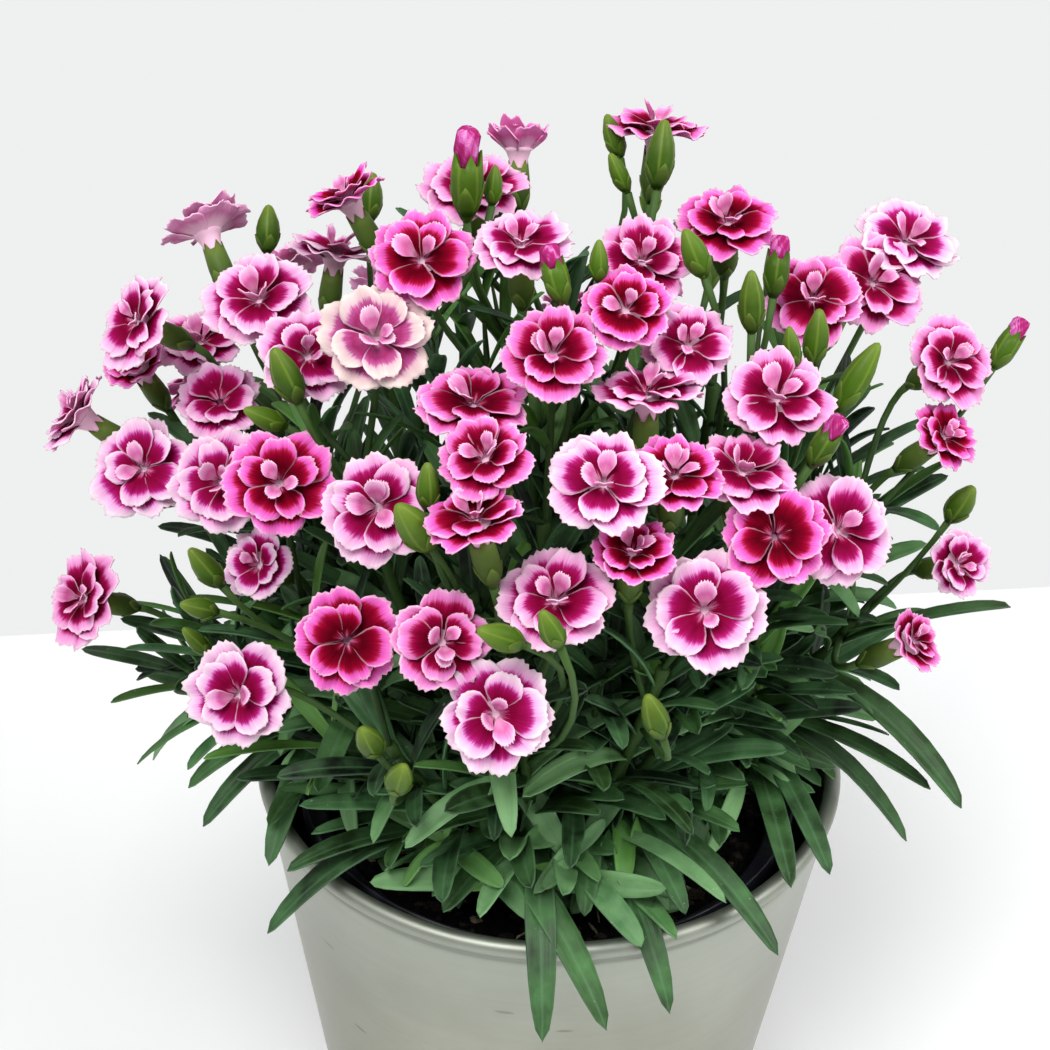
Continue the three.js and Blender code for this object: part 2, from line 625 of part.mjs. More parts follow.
STEMS.forEach((stem, index) => {
  const curve = stemCurve(stem.plant, forkOf(stem));
  stems.push({ plant: stem.plant, index, curve, pairs: 2 });
  const heads = [...stem.blooms, ...stem.buds];
  heads.forEach((head, order) => {
    const isBloom = order < stem.blooms.length;
    const from = bend(curve.start, curve.control, curve.end, 1 - BRANCH_STEP * order);
    const w = facing(head[3], head[4]);
    const foot = isBloom ? bloomFoot(head) : budFoot(head);
    const line = stalkPoints(from, foot, w);
    for (let i = 0; i + 1 < line.length; i += 1) {
      rods.push({ a: line[i], b: line[i + 1], radius: PEDICEL_RADIUS, index });
    }
    const long = isBloom ? CALYX_LONG : head[5];
    rods.push({ a: foot, b: foot.clone().addScaledVector(w, long), radius: CALYX_WIDEST, index });
    if (isBloom) discs.push({ middle: point(head[0], head[1], head[2]), w, radius: head[5] / 2 });
    if (!isBloom) plants[stem.plant].push(budSolid(from, head));
    else plants[stem.plant].push(calyxSolid(from, head, order === 0 ? stemStations(curve, 4) : []));
  });
});

SHOOTS.forEach(([plant, end], i) => {
  const curve = stemCurve(plant, point(...end));
  stems.push({ plant, index: 100 + i, curve, pairs: 2 });
  plants[plant].push(loft(stemStations(curve, 2)));
});

for (const { index, curve } of stems) {
  for (let i = 0; i < 8; i += 1) {
    const a = bend(curve.start, curve.control, curve.end, i / 8);
    const b = bend(curve.start, curve.control, curve.end, (i + 1) / 8);
    rods.push({ a, b, radius: STEM_ROOT_RADIUS, index });
  }
}

// A long leaf starts on the nearest stem of its plant.
for (const [plant, from, to, width, arch] of LONG_LEAVES) {
  let root = null;
  for (const { plant: owner, curve } of stems) {
    if (owner !== plant) continue;
    for (let i = 1; i <= 20; i += 1) {
      const candidate = bend(curve.start, curve.control, curve.end, i / 20);
      if (!root || candidate.distanceTo(point(...from)) < root.distanceTo(point(...from))) root = candidate;
    }
  }
  const tip = point(...to);
  const control = root.clone().lerp(tip, 0.5).addScaledVector(UP, arch);
  const samples = [0, 0.25, 0.5, 0.75, 1].map((t) => bend(root, control, tip, t));
  for (let i = 0; i + 1 < samples.length; i += 1) {
    rods.push({ a: samples[i], b: samples[i + 1], radius: width / 2, index: -1 });
  }
  plants[plant].push(longLeafSolid(root, tip, width, arch));
}

// Pairs of leaves stand at the joints of each stem, each pair across the one below. A pair turns,
// and then gets shorter, until it is clear of everything else.
for (const { plant, index, curve, pairs } of stems) {
  const draw = makeDraw(index + 31);
  const first = 180 * draw();
  for (let k = 0; k < pairs; k += 1) {
    const t = index < 100 ? 0.36 + 0.3 * k : 0.55 + 0.42 * k;
    const node = bend(curve.start, curve.control, curve.end, t);
    const along = bendDirection(curve.start, curve.control, curve.end, t);
    const across = sideOf(along);
    const other = new THREE.Vector3().crossVectors(along, across);
    const long = (PAIR_LONG_LOW + t * (PAIR_LONG_HIGH - PAIR_LONG_LOW)) * (0.9 + 0.2 * draw());
    const droop = 0.05 + 0.3 * draw();
    const others = rods.filter((rod) => rod.index !== index);
    let placed = false;
    for (const shorter of [1, 0.8, 0.62]) {
      for (const swing of [0, 20, -20, 40, -40, 60, -60, 90]) {
        if (placed) continue;
        const angle = radians(first + 90 * k + swing);
        const out = across.clone().multiplyScalar(Math.cos(angle)).addScaledVector(other, Math.sin(angle));
        const half = PAIR_HALF_WIDTH * (0.5 + 0.5 * shorter);
        const ways = [out, out.clone().negate()];
        const lines = ways.map((way) => leafLine(node, along, way, long * shorter, droop));
        if (lines.some((line) => leafSamples(line).some((p) => blocked(p, half, others, discs)))) continue;
        placed = true;
        for (const line of lines) {
          const spots = [line.root, bend(line.root, line.control, line.tip, 0.5), line.tip];
          rods.push({ a: spots[0], b: spots[1], radius: half, index });
          rods.push({ a: spots[1], b: spots[2], radius: half, index });
        }
        plants[plant].push(pairSolid(node, along, out, long * shorter, droop, half));
      }
    }
  }
}

// ---------------------------------------------------------------- assembling
const zinc = new THREE.MeshStandardMaterial({ color: "#b9bcb2", roughness: 0.45, metalness: 0.9 });
const plastic = new THREE.MeshStandardMaterial({ color: "#23232c", roughness: 0.45, metalness: 0 });
const peat = new THREE.MeshStandardMaterial({ color: "#2a211b", roughness: 1, metalness: 0 });
const leafGreen = new THREE.MeshStandardMaterial({ color: "#3c6b4d", roughness: 0.6, metalness: 0 });
const petalPink = new THREE.MeshStandardMaterial({ color: "#e0559f", roughness: 0.7, metalness: 0 });

const dianthus = new THREE.Group();
dianthus.add(meshFrom("planter_bucket", bucketSolid(), zinc));
dianthus.add(meshFrom("nursery_pot", nurserySolid(), plastic));
dianthus.add(meshFrom("potting_soil", soilSolid(), peat));
for (const [plant, solids] of Object.entries(plants)) {
  dianthus.add(meshFrom(`plant_${plant}`, fuse(solids), leafGreen));
}

// Blooms whose petals cross are one node, named after its first bloom.
const blooms = [];
STEMS.forEach((stem) => {
  for (const bloom of stem.blooms) {
    const number = blooms.length + 1;
    blooms.push({ number, solid: bloomSolid(bloom, makeDraw(number)) });
  }
});
const groups = [];
for (const { number, solid } of blooms) {
  const touching = groups.filter((group) => group.solid.intersect(solid).volume() > 1e-6);
  const rest = groups.filter((group) => !touching.includes(group));
  const joined = fuse([solid, ...touching.map((group) => group.solid)]);
  const numbers = [number, ...touching.flatMap((group) => group.numbers)];
  groups.splice(0, groups.length, ...rest, { numbers, solid: joined });
}
for (const { numbers, solid } of groups) {
  const name = `bloom_${String(Math.min(...numbers)).padStart(2, "0")}`;
  dianthus.add(meshFrom(name, solid, petalPink));
}

export default dianthus;
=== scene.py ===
"""A pot of dianthus in full flower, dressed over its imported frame.

Shapes are worked out in millimetres and made metres as each piece is finished. The origin is the
middle of the bucket's underside, +Z is up and -Y is the front.
"""
import math
from itertools import product

import bmesh
import bpy
import numpy as np
from mathutils import Matrix, Vector, noise


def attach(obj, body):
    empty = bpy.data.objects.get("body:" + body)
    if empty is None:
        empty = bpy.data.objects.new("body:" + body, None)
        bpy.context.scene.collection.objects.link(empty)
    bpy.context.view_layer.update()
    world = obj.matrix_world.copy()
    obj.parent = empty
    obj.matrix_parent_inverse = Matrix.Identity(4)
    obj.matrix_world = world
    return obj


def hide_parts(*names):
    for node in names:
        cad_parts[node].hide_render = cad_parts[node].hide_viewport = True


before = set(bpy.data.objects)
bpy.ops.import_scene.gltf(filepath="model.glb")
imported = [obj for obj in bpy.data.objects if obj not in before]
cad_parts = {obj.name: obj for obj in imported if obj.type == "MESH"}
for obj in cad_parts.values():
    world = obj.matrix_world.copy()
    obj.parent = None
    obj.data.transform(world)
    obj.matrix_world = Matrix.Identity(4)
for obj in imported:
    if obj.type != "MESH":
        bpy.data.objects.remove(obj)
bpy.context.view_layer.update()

# ------------------------------------------------------------------ camera
# A camera half a metre from the flowers, looking down on them at some 32 degrees and tipped by a
# degree or two, so that all the flowers are in view and the foot of the bucket is just out of it.
CAMERA_AT = Vector((-9.9, -464.7, 545.2))
CAMERA_DOWN = math.radians(31.74)
CAMERA_TIP = math.radians(1.6)
SENSOR_WIDE = 36
LENS_LONG = 61.714
MM = 0.001


def axes_at(spot, x, y, z):
    """The placing of something at a spot, given where its own three axes point."""
    return Matrix.Translation(spot) @ Matrix((x, y, z)).transposed().to_4x4()


looking = Vector((0, math.cos(CAMERA_DOWN), -math.sin(CAMERA_DOWN)))
level = Vector((1, 0, 0))
raised = level.cross(looking)
camera_right = level * math.cos(CAMERA_TIP) + raised * math.sin(CAMERA_TIP)
camera_up = raised * math.cos(CAMERA_TIP) - level * math.sin(CAMERA_TIP)

camera_data = bpy.data.cameras.new("camera")
camera_data.lens = LENS_LONG
camera_data.sensor_width = SENSOR_WIDE
camera_data.dof.use_dof = False
camera = bpy.data.objects.new("camera", camera_data)
bpy.context.collection.objects.link(camera)
camera.matrix_world = axes_at(CAMERA_AT * MM, camera_right, camera_up, -looking)
bpy.context.scene.camera = camera
bpy.context.scene.view_settings.view_transform = "Standard"

# ------------------------------------------------------------------ table, daylight and lamps
# A white lacquered table top whose far edge runs a little askew, in a studio with pale walls and
# a duller ceiling. One large soft lamp stands in front on the left and a weaker one on the right.
TABLE_BACK_LEFT = Vector((-280, 293, 0))
TABLE_BACK_RIGHT = Vector((281, 367, 0))
TABLE_HALF_WIDE = 1500
TABLE_DEEP = 2400
UP = Vector((0, 0, 1))
SKY_COLOUR = "#F0F1F1"
WALL_STRENGTH = 0.99
CEILING_STRENGTH = 0.42
LAMPS = [
    # place, what it looks at, size, watts
    ((-350, -700, 1500), (0, 0, 250), 900, 21),
    ((1000, -300, 1100), (0, 0, 250), 900, 11),
]
# The output that a node is used for, where it isn't the first: a mixed colour, a mesh's number.
MAIN_OUTPUT = {"ShaderNodeMix": 2, "ShaderNodeAttribute": 2}


def srgb(text):
    """A colour written as sRGB hex, as the linear values that a shader takes."""
    values = [int(text[i:i + 2], 16) / 255 for i in (1, 3, 5)]
    return (*(v / 12.92 if v <= 0.04045 else ((v + 0.055) / 1.055) ** 2.4 for v in values), 1.0)


def add(tree, kind, inputs=(), stops=(), **settings):
    """Adds one node with its settings, its ramp's stops, and the values or links of its inputs.

    A node that is given as an input is linked from its main output, and a text is a hex colour.
    """
    made = tree.nodes.new("ShaderNode" + kind)
    for name, value in settings.items():
        setattr(made, name, value)
    for i, (position, colour) in enumerate(stops):
        stop = made.color_ramp.elements[i] if i < 2 else made.color_ramp.elements.new(position)
        stop.position = position
        stop.color = srgb(colour)
    for name, value in dict(inputs).items():
        if isinstance(value, bpy.types.Node):
            value = value.outputs[MAIN_OUTPUT.get(value.bl_idname, 0)]
        if isinstance(value, bpy.types.NodeSocket):
            tree.links.new(value, made.inputs[name])
        else:
            made.inputs[name].default_value = srgb(value) if isinstance(value, str) else value
    return made


def new_material(name):
    """A material with an empty node tree, and that tree."""
    material = bpy.data.materials.new(name)
    material.use_nodes = True
    tree = material.node_tree
    tree.nodes.clear()
    return material, tree


def finished(bm, name, material, smooth=True):
    """Turns a mesh of millimetres into a piece of metres with its material."""
    bmesh.ops.scale(bm, vec=(MM, MM, MM), verts=bm.verts)
    mesh = bpy.data.meshes.new(name)
    bm.to_mesh(mesh)
    bm.free()
    if smooth:
        mesh.shade_smooth()
    mesh.materials.append(material)
    piece = bpy.data.objects.new(name, mesh)
    bpy.context.collection.objects.link(piece)
    return piece


# White lacquer: an even, nearly white coat, a little rough, so that shadows on it stay soft.
white_lacquer, tree = new_material("white_lacquer")
coat = add(tree, "TexNoise", {"Scale": 9.0, "Detail": 3.0})
coat_tone = add(tree, "ValToRGB", {"Fac": coat}, stops=[(0.3, "#FBFCFD"), (0.7, "#FFFFFF")])
skin = add(tree, "BsdfPrincipled", {"Base Color": coat_tone, "Roughness": 0.55})
add(tree, "OutputMaterial", {"Surface": skin})

bm = bmesh.new()
table_edge = (TABLE_BACK_RIGHT - TABLE_BACK_LEFT).normalized()
table_in = UP.cross(table_edge)
table_middle = TABLE_BACK_LEFT.lerp(TABLE_BACK_RIGHT, 0.5) - table_in * TABLE_DEEP / 2
laid = axes_at(table_middle, table_edge * TABLE_HALF_WIDE, table_in * TABLE_DEEP / 2, UP)
bmesh.ops.create_grid(bm, x_segments=1, y_segments=1, size=1, matrix=laid)
table_top = finished(bm, "table_top", white_lacquer, smooth=False)

world = bpy.data.worlds.new("studio")
world.use_nodes = True
tree = world.node_tree
tree.nodes.clear()
direction = add(tree, "TexCoord")
height = add(tree, "SeparateXYZ", {"Vector": direction.outputs["Generated"]})
strength = add(tree, "MapRange", {"Value": height.outputs["Z"], "From Min": 0.0, "From Max": 0.3,
                                  "To Min": WALL_STRENGTH, "To Max": CEILING_STRENGTH})
sky = add(tree, "Background", {"Color": SKY_COLOUR, "Strength": strength})
add(tree, "OutputWorld", {"Surface": sky})
bpy.context.scene.world = world

for number, (place, target, size, watts) in enumerate(LAMPS):
    light = bpy.data.lights.new(f"soft_lamp_{number}", "AREA")
    light.shape = "DISK"
    light.size = size * MM
    light.energy = watts
    lamp = bpy.data.objects.new(light.name, light)
    bpy.context.collection.objects.link(lamp)
    aim = (Vector(target) - Vector(place)).to_track_quat("-Z", "Y")
    lamp.matrix_world = Matrix.Translation(Vector(place) * MM) @ aim.to_matrix().to_4x4()

# ------------------------------------------------------------------ zinc bucket
# A plain tapered bucket of 1 mm galvanised sheet, its upper edge rolled over a wire into a bead.
# It is left in its dull metal finish, with the fine scratches and scuffs of being stacked.
BUCKET_TALL = 175
BUCKET_WIDE = 190
BUCKET_BASE_RADIUS = 71
BUCKET_SHEET = 1
BASE_ROUND = 1.2
BEAD = 2.6
NECK_IN = 0.6
GROOVE_DEEP = 0.8
GROOVE_LOW = 7
BUCKET_FACETS = 144


def spun(bm, profile, facets, centre=(0, 0, 0)):
    """Spins a profile of radius and height once round the upright axis, and closes its seam."""
    spots = [bm.verts.new((radius, 0, height)) for radius, height in profile]
    edges = [bm.edges.new(pair) for pair in zip(spots, spots[1:])]
    made = bmesh.ops.spin(bm, geom=spots + edges, cent=(0, 0, 0), axis=(0, 0, 1), angle=math.tau,
                          steps=facets, use_merge=True, use_duplicate=False)
    verts = {v for e in edges if e.is_valid for v in e.verts}
    grown = set(verts)
    while grown:
        grown = {e.other_vert(v) for v in grown for e in v.link_edges} - verts
        verts |= grown
    verts = list(verts)
    bmesh.ops.remove_doubles(bm, verts=verts, dist=1e-4)
    verts = [v for v in verts if v.is_valid]
    bmesh.ops.recalc_face_normals(bm, faces=list({f for v in verts for f in v.link_faces}))
    bmesh.ops.translate(bm, vec=centre, verts=verts)
    return verts


def rounded(points, middle, radius, start, end, steps):
    """Adds an arc of a profile, from one angle to another, to a list of its points."""
    for step in range(steps + 1):
        angle = math.radians(start + (end - start) * step / steps)
        points.append((middle[0] + radius * math.cos(angle), middle[1] + radius * math.sin(angle)))


# Galvanised zinc: a metal with a dull grey-green skin, painted darker and greener towards the foot as a
# painted reflection of darker surroundings. Rolling leaves faint streaks round it, and handling leaves
# short dark scratches. Painted shade darkens the groove under the bead. A painted band of light makes the
# skin brightest under the rim, and it is least glossy on the bead.
galvanised_zinc, tree = new_material("galvanised_zinc")
place = add(tree, "TexCoord").outputs["Object"]
rolled_at = add(tree, "Mapping", {"Vector": place, "Scale": (14, 14, 420)})
rolled = add(tree, "TexNoise", {"Vector": rolled_at, "Scale": 1.0, "Detail": 5.0, "Roughness": 0.6})
cloud = add(tree, "TexNoise", {"Vector": place, "Scale": 17.0, "Detail": 5.0})
spangle = add(tree, "TexVoronoi", {"Vector": place, "Scale": 160.0})
mixed = add(tree, "Math", {0: rolled, 1: 0.15, 2: cloud}, operation="MULTIPLY_ADD")
tone = add(tree, "MapRange", {"Value": mixed, "From Min": 0.42, "From Max": 0.75})
zinc_tone = add(tree, "ValToRGB", {"Fac": tone},
                stops=[(0.0, "#838578"), (1.0, "#9B9D92"), (0.5, "#8F9185")])
scratch_at = add(tree, "Mapping", {"Vector": place, "Rotation": (0, 0.5, 0), "Scale": (34, 34, 150)})
scratch = add(tree, "TexVoronoi", {"Vector": scratch_at, "Scale": 1.0})
scratched = add(tree, "MapRange", {"Value": scratch.outputs["Distance"], "From Min": 0.07,
                                   "From Max": 0.12, "To Min": 1.0, "To Max": 0.0})
rare = add(tree, "SeparateColor", {"Color": scratch.outputs["Color"]})
chosen = add(tree, "Math", {0: rare, 1: 0.86}, operation="GREATER_THAN")
marks = add(tree, "Math", {0: scratched, 1: chosen}, operation="MULTIPLY")
marked = add(tree, "Mix", {0: marks, 6: zinc_tone, 7: "#6D6E63"}, data_type="RGBA")
upright = add(tree, "SeparateXYZ", {"Vector": place}).outputs["Z"]
# Painted shade: a thin dark band is painted into the groove under the bead.
from_groove = add(tree, "Math", {0: upright, 1: 0.1675}, operation="SUBTRACT")
off_groove = add(tree, "Math", {0: from_groove}, operation="ABSOLUTE")
groove_shade_mask = add(tree, "MapRange", {"Value": off_groove, "From Min": 0.0002, "From Max": 0.0008,
                               "To Min": 0.4, "To Max": 0.0})
groove_shaded = add(tree, "Mix", {0: groove_shade_mask, 6: marked, 7: "#33332C"}, data_type="RGBA")
# Painted reflection: the wall is darkened and greener towards the foot, for the darker surroundings that it
# reflects.
below = add(tree, "MapRange", {"Value": upright, "From Min": 0.09, "From Max": 0.15,
                               "To Min": 0.3, "To Max": 0.0})
# Painted light: the wall is lightened towards the rim, as if lit from above.
above = add(tree, "MapRange", {"Value": upright, "From Min": 0.12, "From Max": 0.165,
                               "To Min": 0.0, "To Max": 0.35})
top_lit = add(tree, "Mix", {0: above, 6: groove_shaded, 7: "#A7AEA6"}, data_type="RGBA")
foot_reflected = add(tree, "Mix", {0: below, 6: top_lit, 7: "#80826C"}, data_type="RGBA")
dull = add(tree, "MapRange", {"Value": cloud, "From Min": 0.3, "From Max": 0.7,
                              "To Min": 0.3, "To Max": 0.42})
bead_dull = add(tree, "MapRange", {"Value": upright, "From Min": 0.166, "From Max": 0.169,
                                   "To Min": 0.0, "To Max": 0.16})
duller = add(tree, "Math", {0: dull, 1: bead_dull}, operation="ADD")
relief = add(tree, "Math", {0: rolled, 1: spangle.outputs["Distance"]}, operation="ADD")
grain = add(tree, "Bump", {"Height": relief, "Strength": 0.015, "Distance": 0.0004})
skin = add(tree, "BsdfPrincipled", {"Base Color": foot_reflected, "Metallic": 0.92, "Roughness": duller,
                                    "Normal": grain})
add(tree, "OutputMaterial", {"Surface": skin})

bead_middle = (BUCKET_WIDE / 2 - BEAD, BUCKET_TALL - BEAD)
neck = bead_middle[0] - NECK_IN
sheet_top = neck + GROOVE_DEEP
sheet_tall = bead_middle[1] - GROOVE_LOW
profile = [(0, 0), (BUCKET_BASE_RADIUS - 1.5, 0)]
rounded(profile, (BUCKET_BASE_RADIUS - BASE_ROUND, BASE_ROUND), BASE_ROUND, -80, -10, 3)
for share in (0.03, 0.25, 0.5, 0.75, 0.96):
    wall = BUCKET_BASE_RADIUS + share * (sheet_top - BUCKET_BASE_RADIUS)
    profile.append((wall, share * sheet_tall))
profile += [(sheet_top, sheet_tall), (neck + 0.7, bead_middle[1] - 5.4), (neck, bead_middle[1] - 4.2)]
rounded(profile, bead_middle, BEAD, -74, 214, 14)
profile += [(neck - BUCKET_SHEET, bead_middle[1] - 4.4)]
for share in (0.97, 0.75, 0.5, 0.25, 0.03):
    wall = BUCKET_BASE_RADIUS + share * (sheet_top - BUCKET_BASE_RADIUS)
    profile.append((wall - BUCKET_SHEET, max(share * sheet_tall, BUCKET_SHEET + BASE_ROUND)))
profile += [(BUCKET_BASE_RADIUS - 2.6, BUCKET_SHEET), (0, BUCKET_SHEET)]
bm = bmesh.new()
spun(bm, profile, BUCKET_FACETS)
bucket = finished(bm, "zinc_bucket", galvanised_zinc)
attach(bucket, "root")
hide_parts("planter_bucket")

# ------------------------------------------------------------------ nursery pot
# The grower's own pot, thin black polypropylene, dropped into the bucket. Its turned-down lip
# stands a little below the bead, and inside the lip is a narrow ledge.
NURSERY_LIP_RADIUS = 81
NURSERY_LIP_TALL = 9
NURSERY_LEDGE = 7
NURSERY_TOP = 167
NURSERY_BASE_RADIUS = 60
NURSERY_WALL = 1.2
NURSERY_FORWARD = 3
NURSERY_FACETS = 96
REST_GAP = 0.3

# Moulded black polypropylene: near black with a soft sheen, and a little pale dust on it.
black_polypropylene, tree = new_material("moulded_black_polypropylene")
place = add(tree, "TexCoord").outputs["Object"]
dust = add(tree, "TexNoise", {"Vector": place, "Scale": 90.0, "Detail": 6.0})
plastic_tone = add(tree, "ValToRGB", {"Fac": dust},
                   stops=[(0.35, "#17171F"), (0.62, "#24242E"), (0.8, "#4A4846")])
orange_peel = add(tree, "TexNoise", {"Vector": place, "Scale": 900.0})
peel = add(tree, "Bump", {"Height": orange_peel, "Strength": 0.12, "Distance": 0.0004})
worn = add(tree, "MapRange", {"Value": dust, "From Min": 0.3, "From Max": 0.8,
                              "To Min": 0.3, "To Max": 0.6})
skin = add(tree, "BsdfPrincipled", {"Base Color": plastic_tone, "Roughness": worn, "IOR": 1.49,
                                    "Normal": peel})
add(tree, "OutputMaterial", {"Surface": skin})

nursery_floor = BUCKET_SHEET + REST_GAP
lip_under = NURSERY_TOP - NURSERY_LIP_TALL
wall_top = NURSERY_LIP_RADIUS - NURSERY_LEDGE
ledge_top = lip_under + NURSERY_WALL
lip_inside = NURSERY_LIP_RADIUS - NURSERY_WALL
halfway = (NURSERY_BASE_RADIUS + wall_top) / 2, (nursery_floor + lip_under) / 2
profile = [
    (0, nursery_floor), (NURSERY_BASE_RADIUS - 1, nursery_floor), (NURSERY_BASE_RADIUS, nursery_floor + 1),
    halfway, (wall_top, lip_under),
    (NURSERY_LIP_RADIUS - 0.6, lip_under), (NURSERY_LIP_RADIUS, lip_under + 0.6),
    (NURSERY_LIP_RADIUS, NURSERY_TOP - 0.4), (NURSERY_LIP_RADIUS - 0.4, NURSERY_TOP),
    (lip_inside, NURSERY_TOP - 0.3), (lip_inside, ledge_top + 0.8), (lip_inside - 0.8, ledge_top),
    (wall_top - NURSERY_WALL + 1, ledge_top), (wall_top - NURSERY_WALL, ledge_top - 0.9),
    (halfway[0] - NURSERY_WALL, halfway[1]), (NURSERY_BASE_RADIUS - NURSERY_WALL, nursery_floor + 2),
    (0, nursery_floor + NURSERY_WALL),
]
bm = bmesh.new()
spun(bm, profile, NURSERY_FACETS, centre=(0, -NURSERY_FORWARD, 0))
nursery_pot = finished(bm, "black_nursery_pot", black_polypropylene)
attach(nursery_pot, "root")
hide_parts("nursery_pot")

# ------------------------------------------------------------------ potting soil
# Damp dark peat that fills the nursery pot to just under its ledge, with crumbs, bark and a few
# pale fibres lying loose on top. The stems stand in it.
SOIL_TOP = 153
SOIL_FACETS = 72
SOIL_BUMP = 1.6
CRUMBS = 900
FIBRES = 150
SOIL_NUMBERS = ("dry",)


def make_draw(seed):
    """Repeatable numbers between 0 and 1, the same for every run."""
    state = seed * 7919 + 104729

    def draw():
        nonlocal state
        state = (state * 16807) % 2147483647
        return state / 2147483647
    return draw


def soil_height(x, y):
    """How high the soil stands at a spot: broad bumps, with finer ones over them."""
    bump = math.sin(0.21 * x + 0.6) * math.cos(0.17 * y) + math.sin(0.11 * (x + y))
    fine = noise.noise(Vector((x, y, 0)) * 0.16) + 0.5 * noise.noise(Vector((x, y, 7)) * 0.45)
    return SOIL_TOP + 0.5 * SOIL_BUMP * bump + 1.3 * fine


carrier = bpy.data.meshes.new("carrier")


def joined(whole, part):
    """Adds a small mesh to the mesh of its piece. Each step on a small mesh stays quick."""
    part.to_mesh(carrier)
    part.free()
    whole.from_mesh(carrier)


def blank(names):
    """An empty mesh whose corners can hold numbers, which its material reads by these names."""
    bm = bmesh.new()
    for name in names:
        bm.verts.layers.float.new(name)
    return bm


def tinted(bm, verts, **values):
    """Writes those numbers on some of the corners."""
    for name, value in values.items():
        layer = bm.verts.layers.float[name]
        for vert in verts:
            vert[layer] = value


# Peat: crumbly, very dark brown when damp, with no gloss. Loose bits are drier and so paler.
damp_peat, tree = new_material("damp_peat")
place = add(tree, "TexCoord").outputs["Object"]
dry = add(tree, "Attribute", attribute_name="dry")
lumps = add(tree, "TexNoise", {"Vector": place, "Scale": 520.0, "Detail": 6.0})
peat_tone = add(tree, "ValToRGB", {"Fac": lumps},
                stops=[(0.3, "#050405"), (0.75, "#1B1512"), (0.55, "#0B0909")])
straw_tone = add(tree, "ValToRGB", {"Fac": lumps}, stops=[(0.3, "#7C6E57"), (0.7, "#CDC1A2")])
dried = add(tree, "Mix", {0: dry, 6: peat_tone, 7: straw_tone}, data_type="RGBA")
crumbly = add(tree, "Bump", {"Height": lumps, "Strength": 0.8, "Distance": 0.002})
skin = add(tree, "BsdfPrincipled", {"Base Color": dried, "Roughness": 0.9, "Normal": crumbly,
                                    "Specular IOR Level": 0.1})
add(tree, "OutputMaterial", {"Surface": skin})

soil_floor = nursery_floor + NURSERY_WALL + REST_GAP
soil_slope = (wall_top - NURSERY_BASE_RADIUS) / (lip_under - BUCKET_SHEET)
soil_low = NURSERY_BASE_RADIUS - NURSERY_WALL - 2.5 * REST_GAP
soil_edge = soil_low + soil_slope * (SOIL_TOP - soil_floor)
profile = [(0, soil_floor), (soil_low, soil_floor), (soil_edge, SOIL_TOP - 2)]
profile += [(soil_edge * share, SOIL_TOP) for share in (0.97, 0.9, 0.8, 0.7, 0.6, 0.5, 0.4, 0.3, 0.2, 0.1, 0)]
bm = blank(SOIL_NUMBERS)
for vert in spun(bm, profile, SOIL_FACETS, centre=(0, -NURSERY_FORWARD, 0)):
    if vert.co.z > SOIL_TOP - 0.5:
        vert.co.z = soil_height(vert.co.x, vert.co.y)
soil = finished(bm, "damp_peat_soil", damp_peat)
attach(soil, "root")
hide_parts("potting_soil")


def soil_spot(draw, margin):
    """A random spot on the soil, at least a margin from its edge."""
    radius = (soil_edge - margin) * math.sqrt(draw())
    angle = math.tau * draw()
    return radius * math.cos(angle), radius * math.sin(angle) - NURSERY_FORWARD


whole = blank(SOIL_NUMBERS)
draw = make_draw(501)
for _ in range(CRUMBS):
    bm = blank(SOIL_NUMBERS)
    x, y = soil_spot(draw, 4)
    size = 0.7 + 2.1 * draw() ** 3
    lying = Matrix.Translation((x, y, soil_height(x, y) + 0.2 * size)) @ Matrix.Rotation(3 * draw(), 4, "X")
    stretch = Matrix.Diagonal((1 + draw(), 1, 0.6 + 0.4 * draw(), 1))
    crumb = bmesh.ops.create_icosphere(bm, subdivisions=1, radius=size, matrix=lying @ stretch)["verts"]
    for vert in crumb:
        vert.co += Vector((draw() - 0.5, draw() - 0.5, draw() - 0.5)) * 0.5 * size
    tinted(bm, crumb, dry=0.6 * draw() if draw() < 0.16 else 0.06 * draw())
    joined(whole, bm)
for _ in range(FIBRES):
    bm = blank(SOIL_NUMBERS)
    x, y = soil_spot(draw, 9)
    lying = Matrix.Translation((x, y, soil_height(x, y) + 0.6)) @ Matrix.Rotation(math.tau * draw(), 4, "Z")
    stretch = Matrix.Diagonal((2.5 + 4 * draw(), 0.35 + 0.4 * draw(), 0.3, 1))
    fibre = bmesh.ops.create_icosphere(bm, subdivisions=1, radius=1, matrix=lying @ stretch)["verts"]
    for vert in fibre:
        vert.co.z += 0.8 * (draw() - 0.5)
    tinted(bm, fibre, dry=0.3 + 0.7 * draw())
    joined(whole, bm)
crumbs = finished(whole, "loose_crumbs", damp_peat, smooth=False)
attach(crumbs, "root")

# ------------------------------------------------------------------ stems
# Three rooted cuttings, each a short woody crown in the soil. Wiry jointed stems lean out of it
# and rise, swollen where the leaves sit, and fork into thin stalks under the flowers and buds.
CROWN_RADIUS = 6
CROWN_DEEP = 9
CROWN_SPREAD = 3.4
CROWNS = {"front": (0, -34), "left": (-32, 14), "right": (32, 14)}
STEM_ROOT_RADIUS = 2
STALK_RADIUS = 1.05
BUD_STALK_RADIUS = 0.9
STEM_SIDES = 7
STALK_SEGMENTS = 6
FORK_DROP = 22
BRANCH_STEP = 0.07
CALYX_LONG = 19
PETALS_ABOVE_CALYX = 1.5
JOINT_SWELL = 0.55
GOLDEN_ANGLE = 2.39996
GREEN_NUMBERS = ("along", "across", "shade", "fresh")

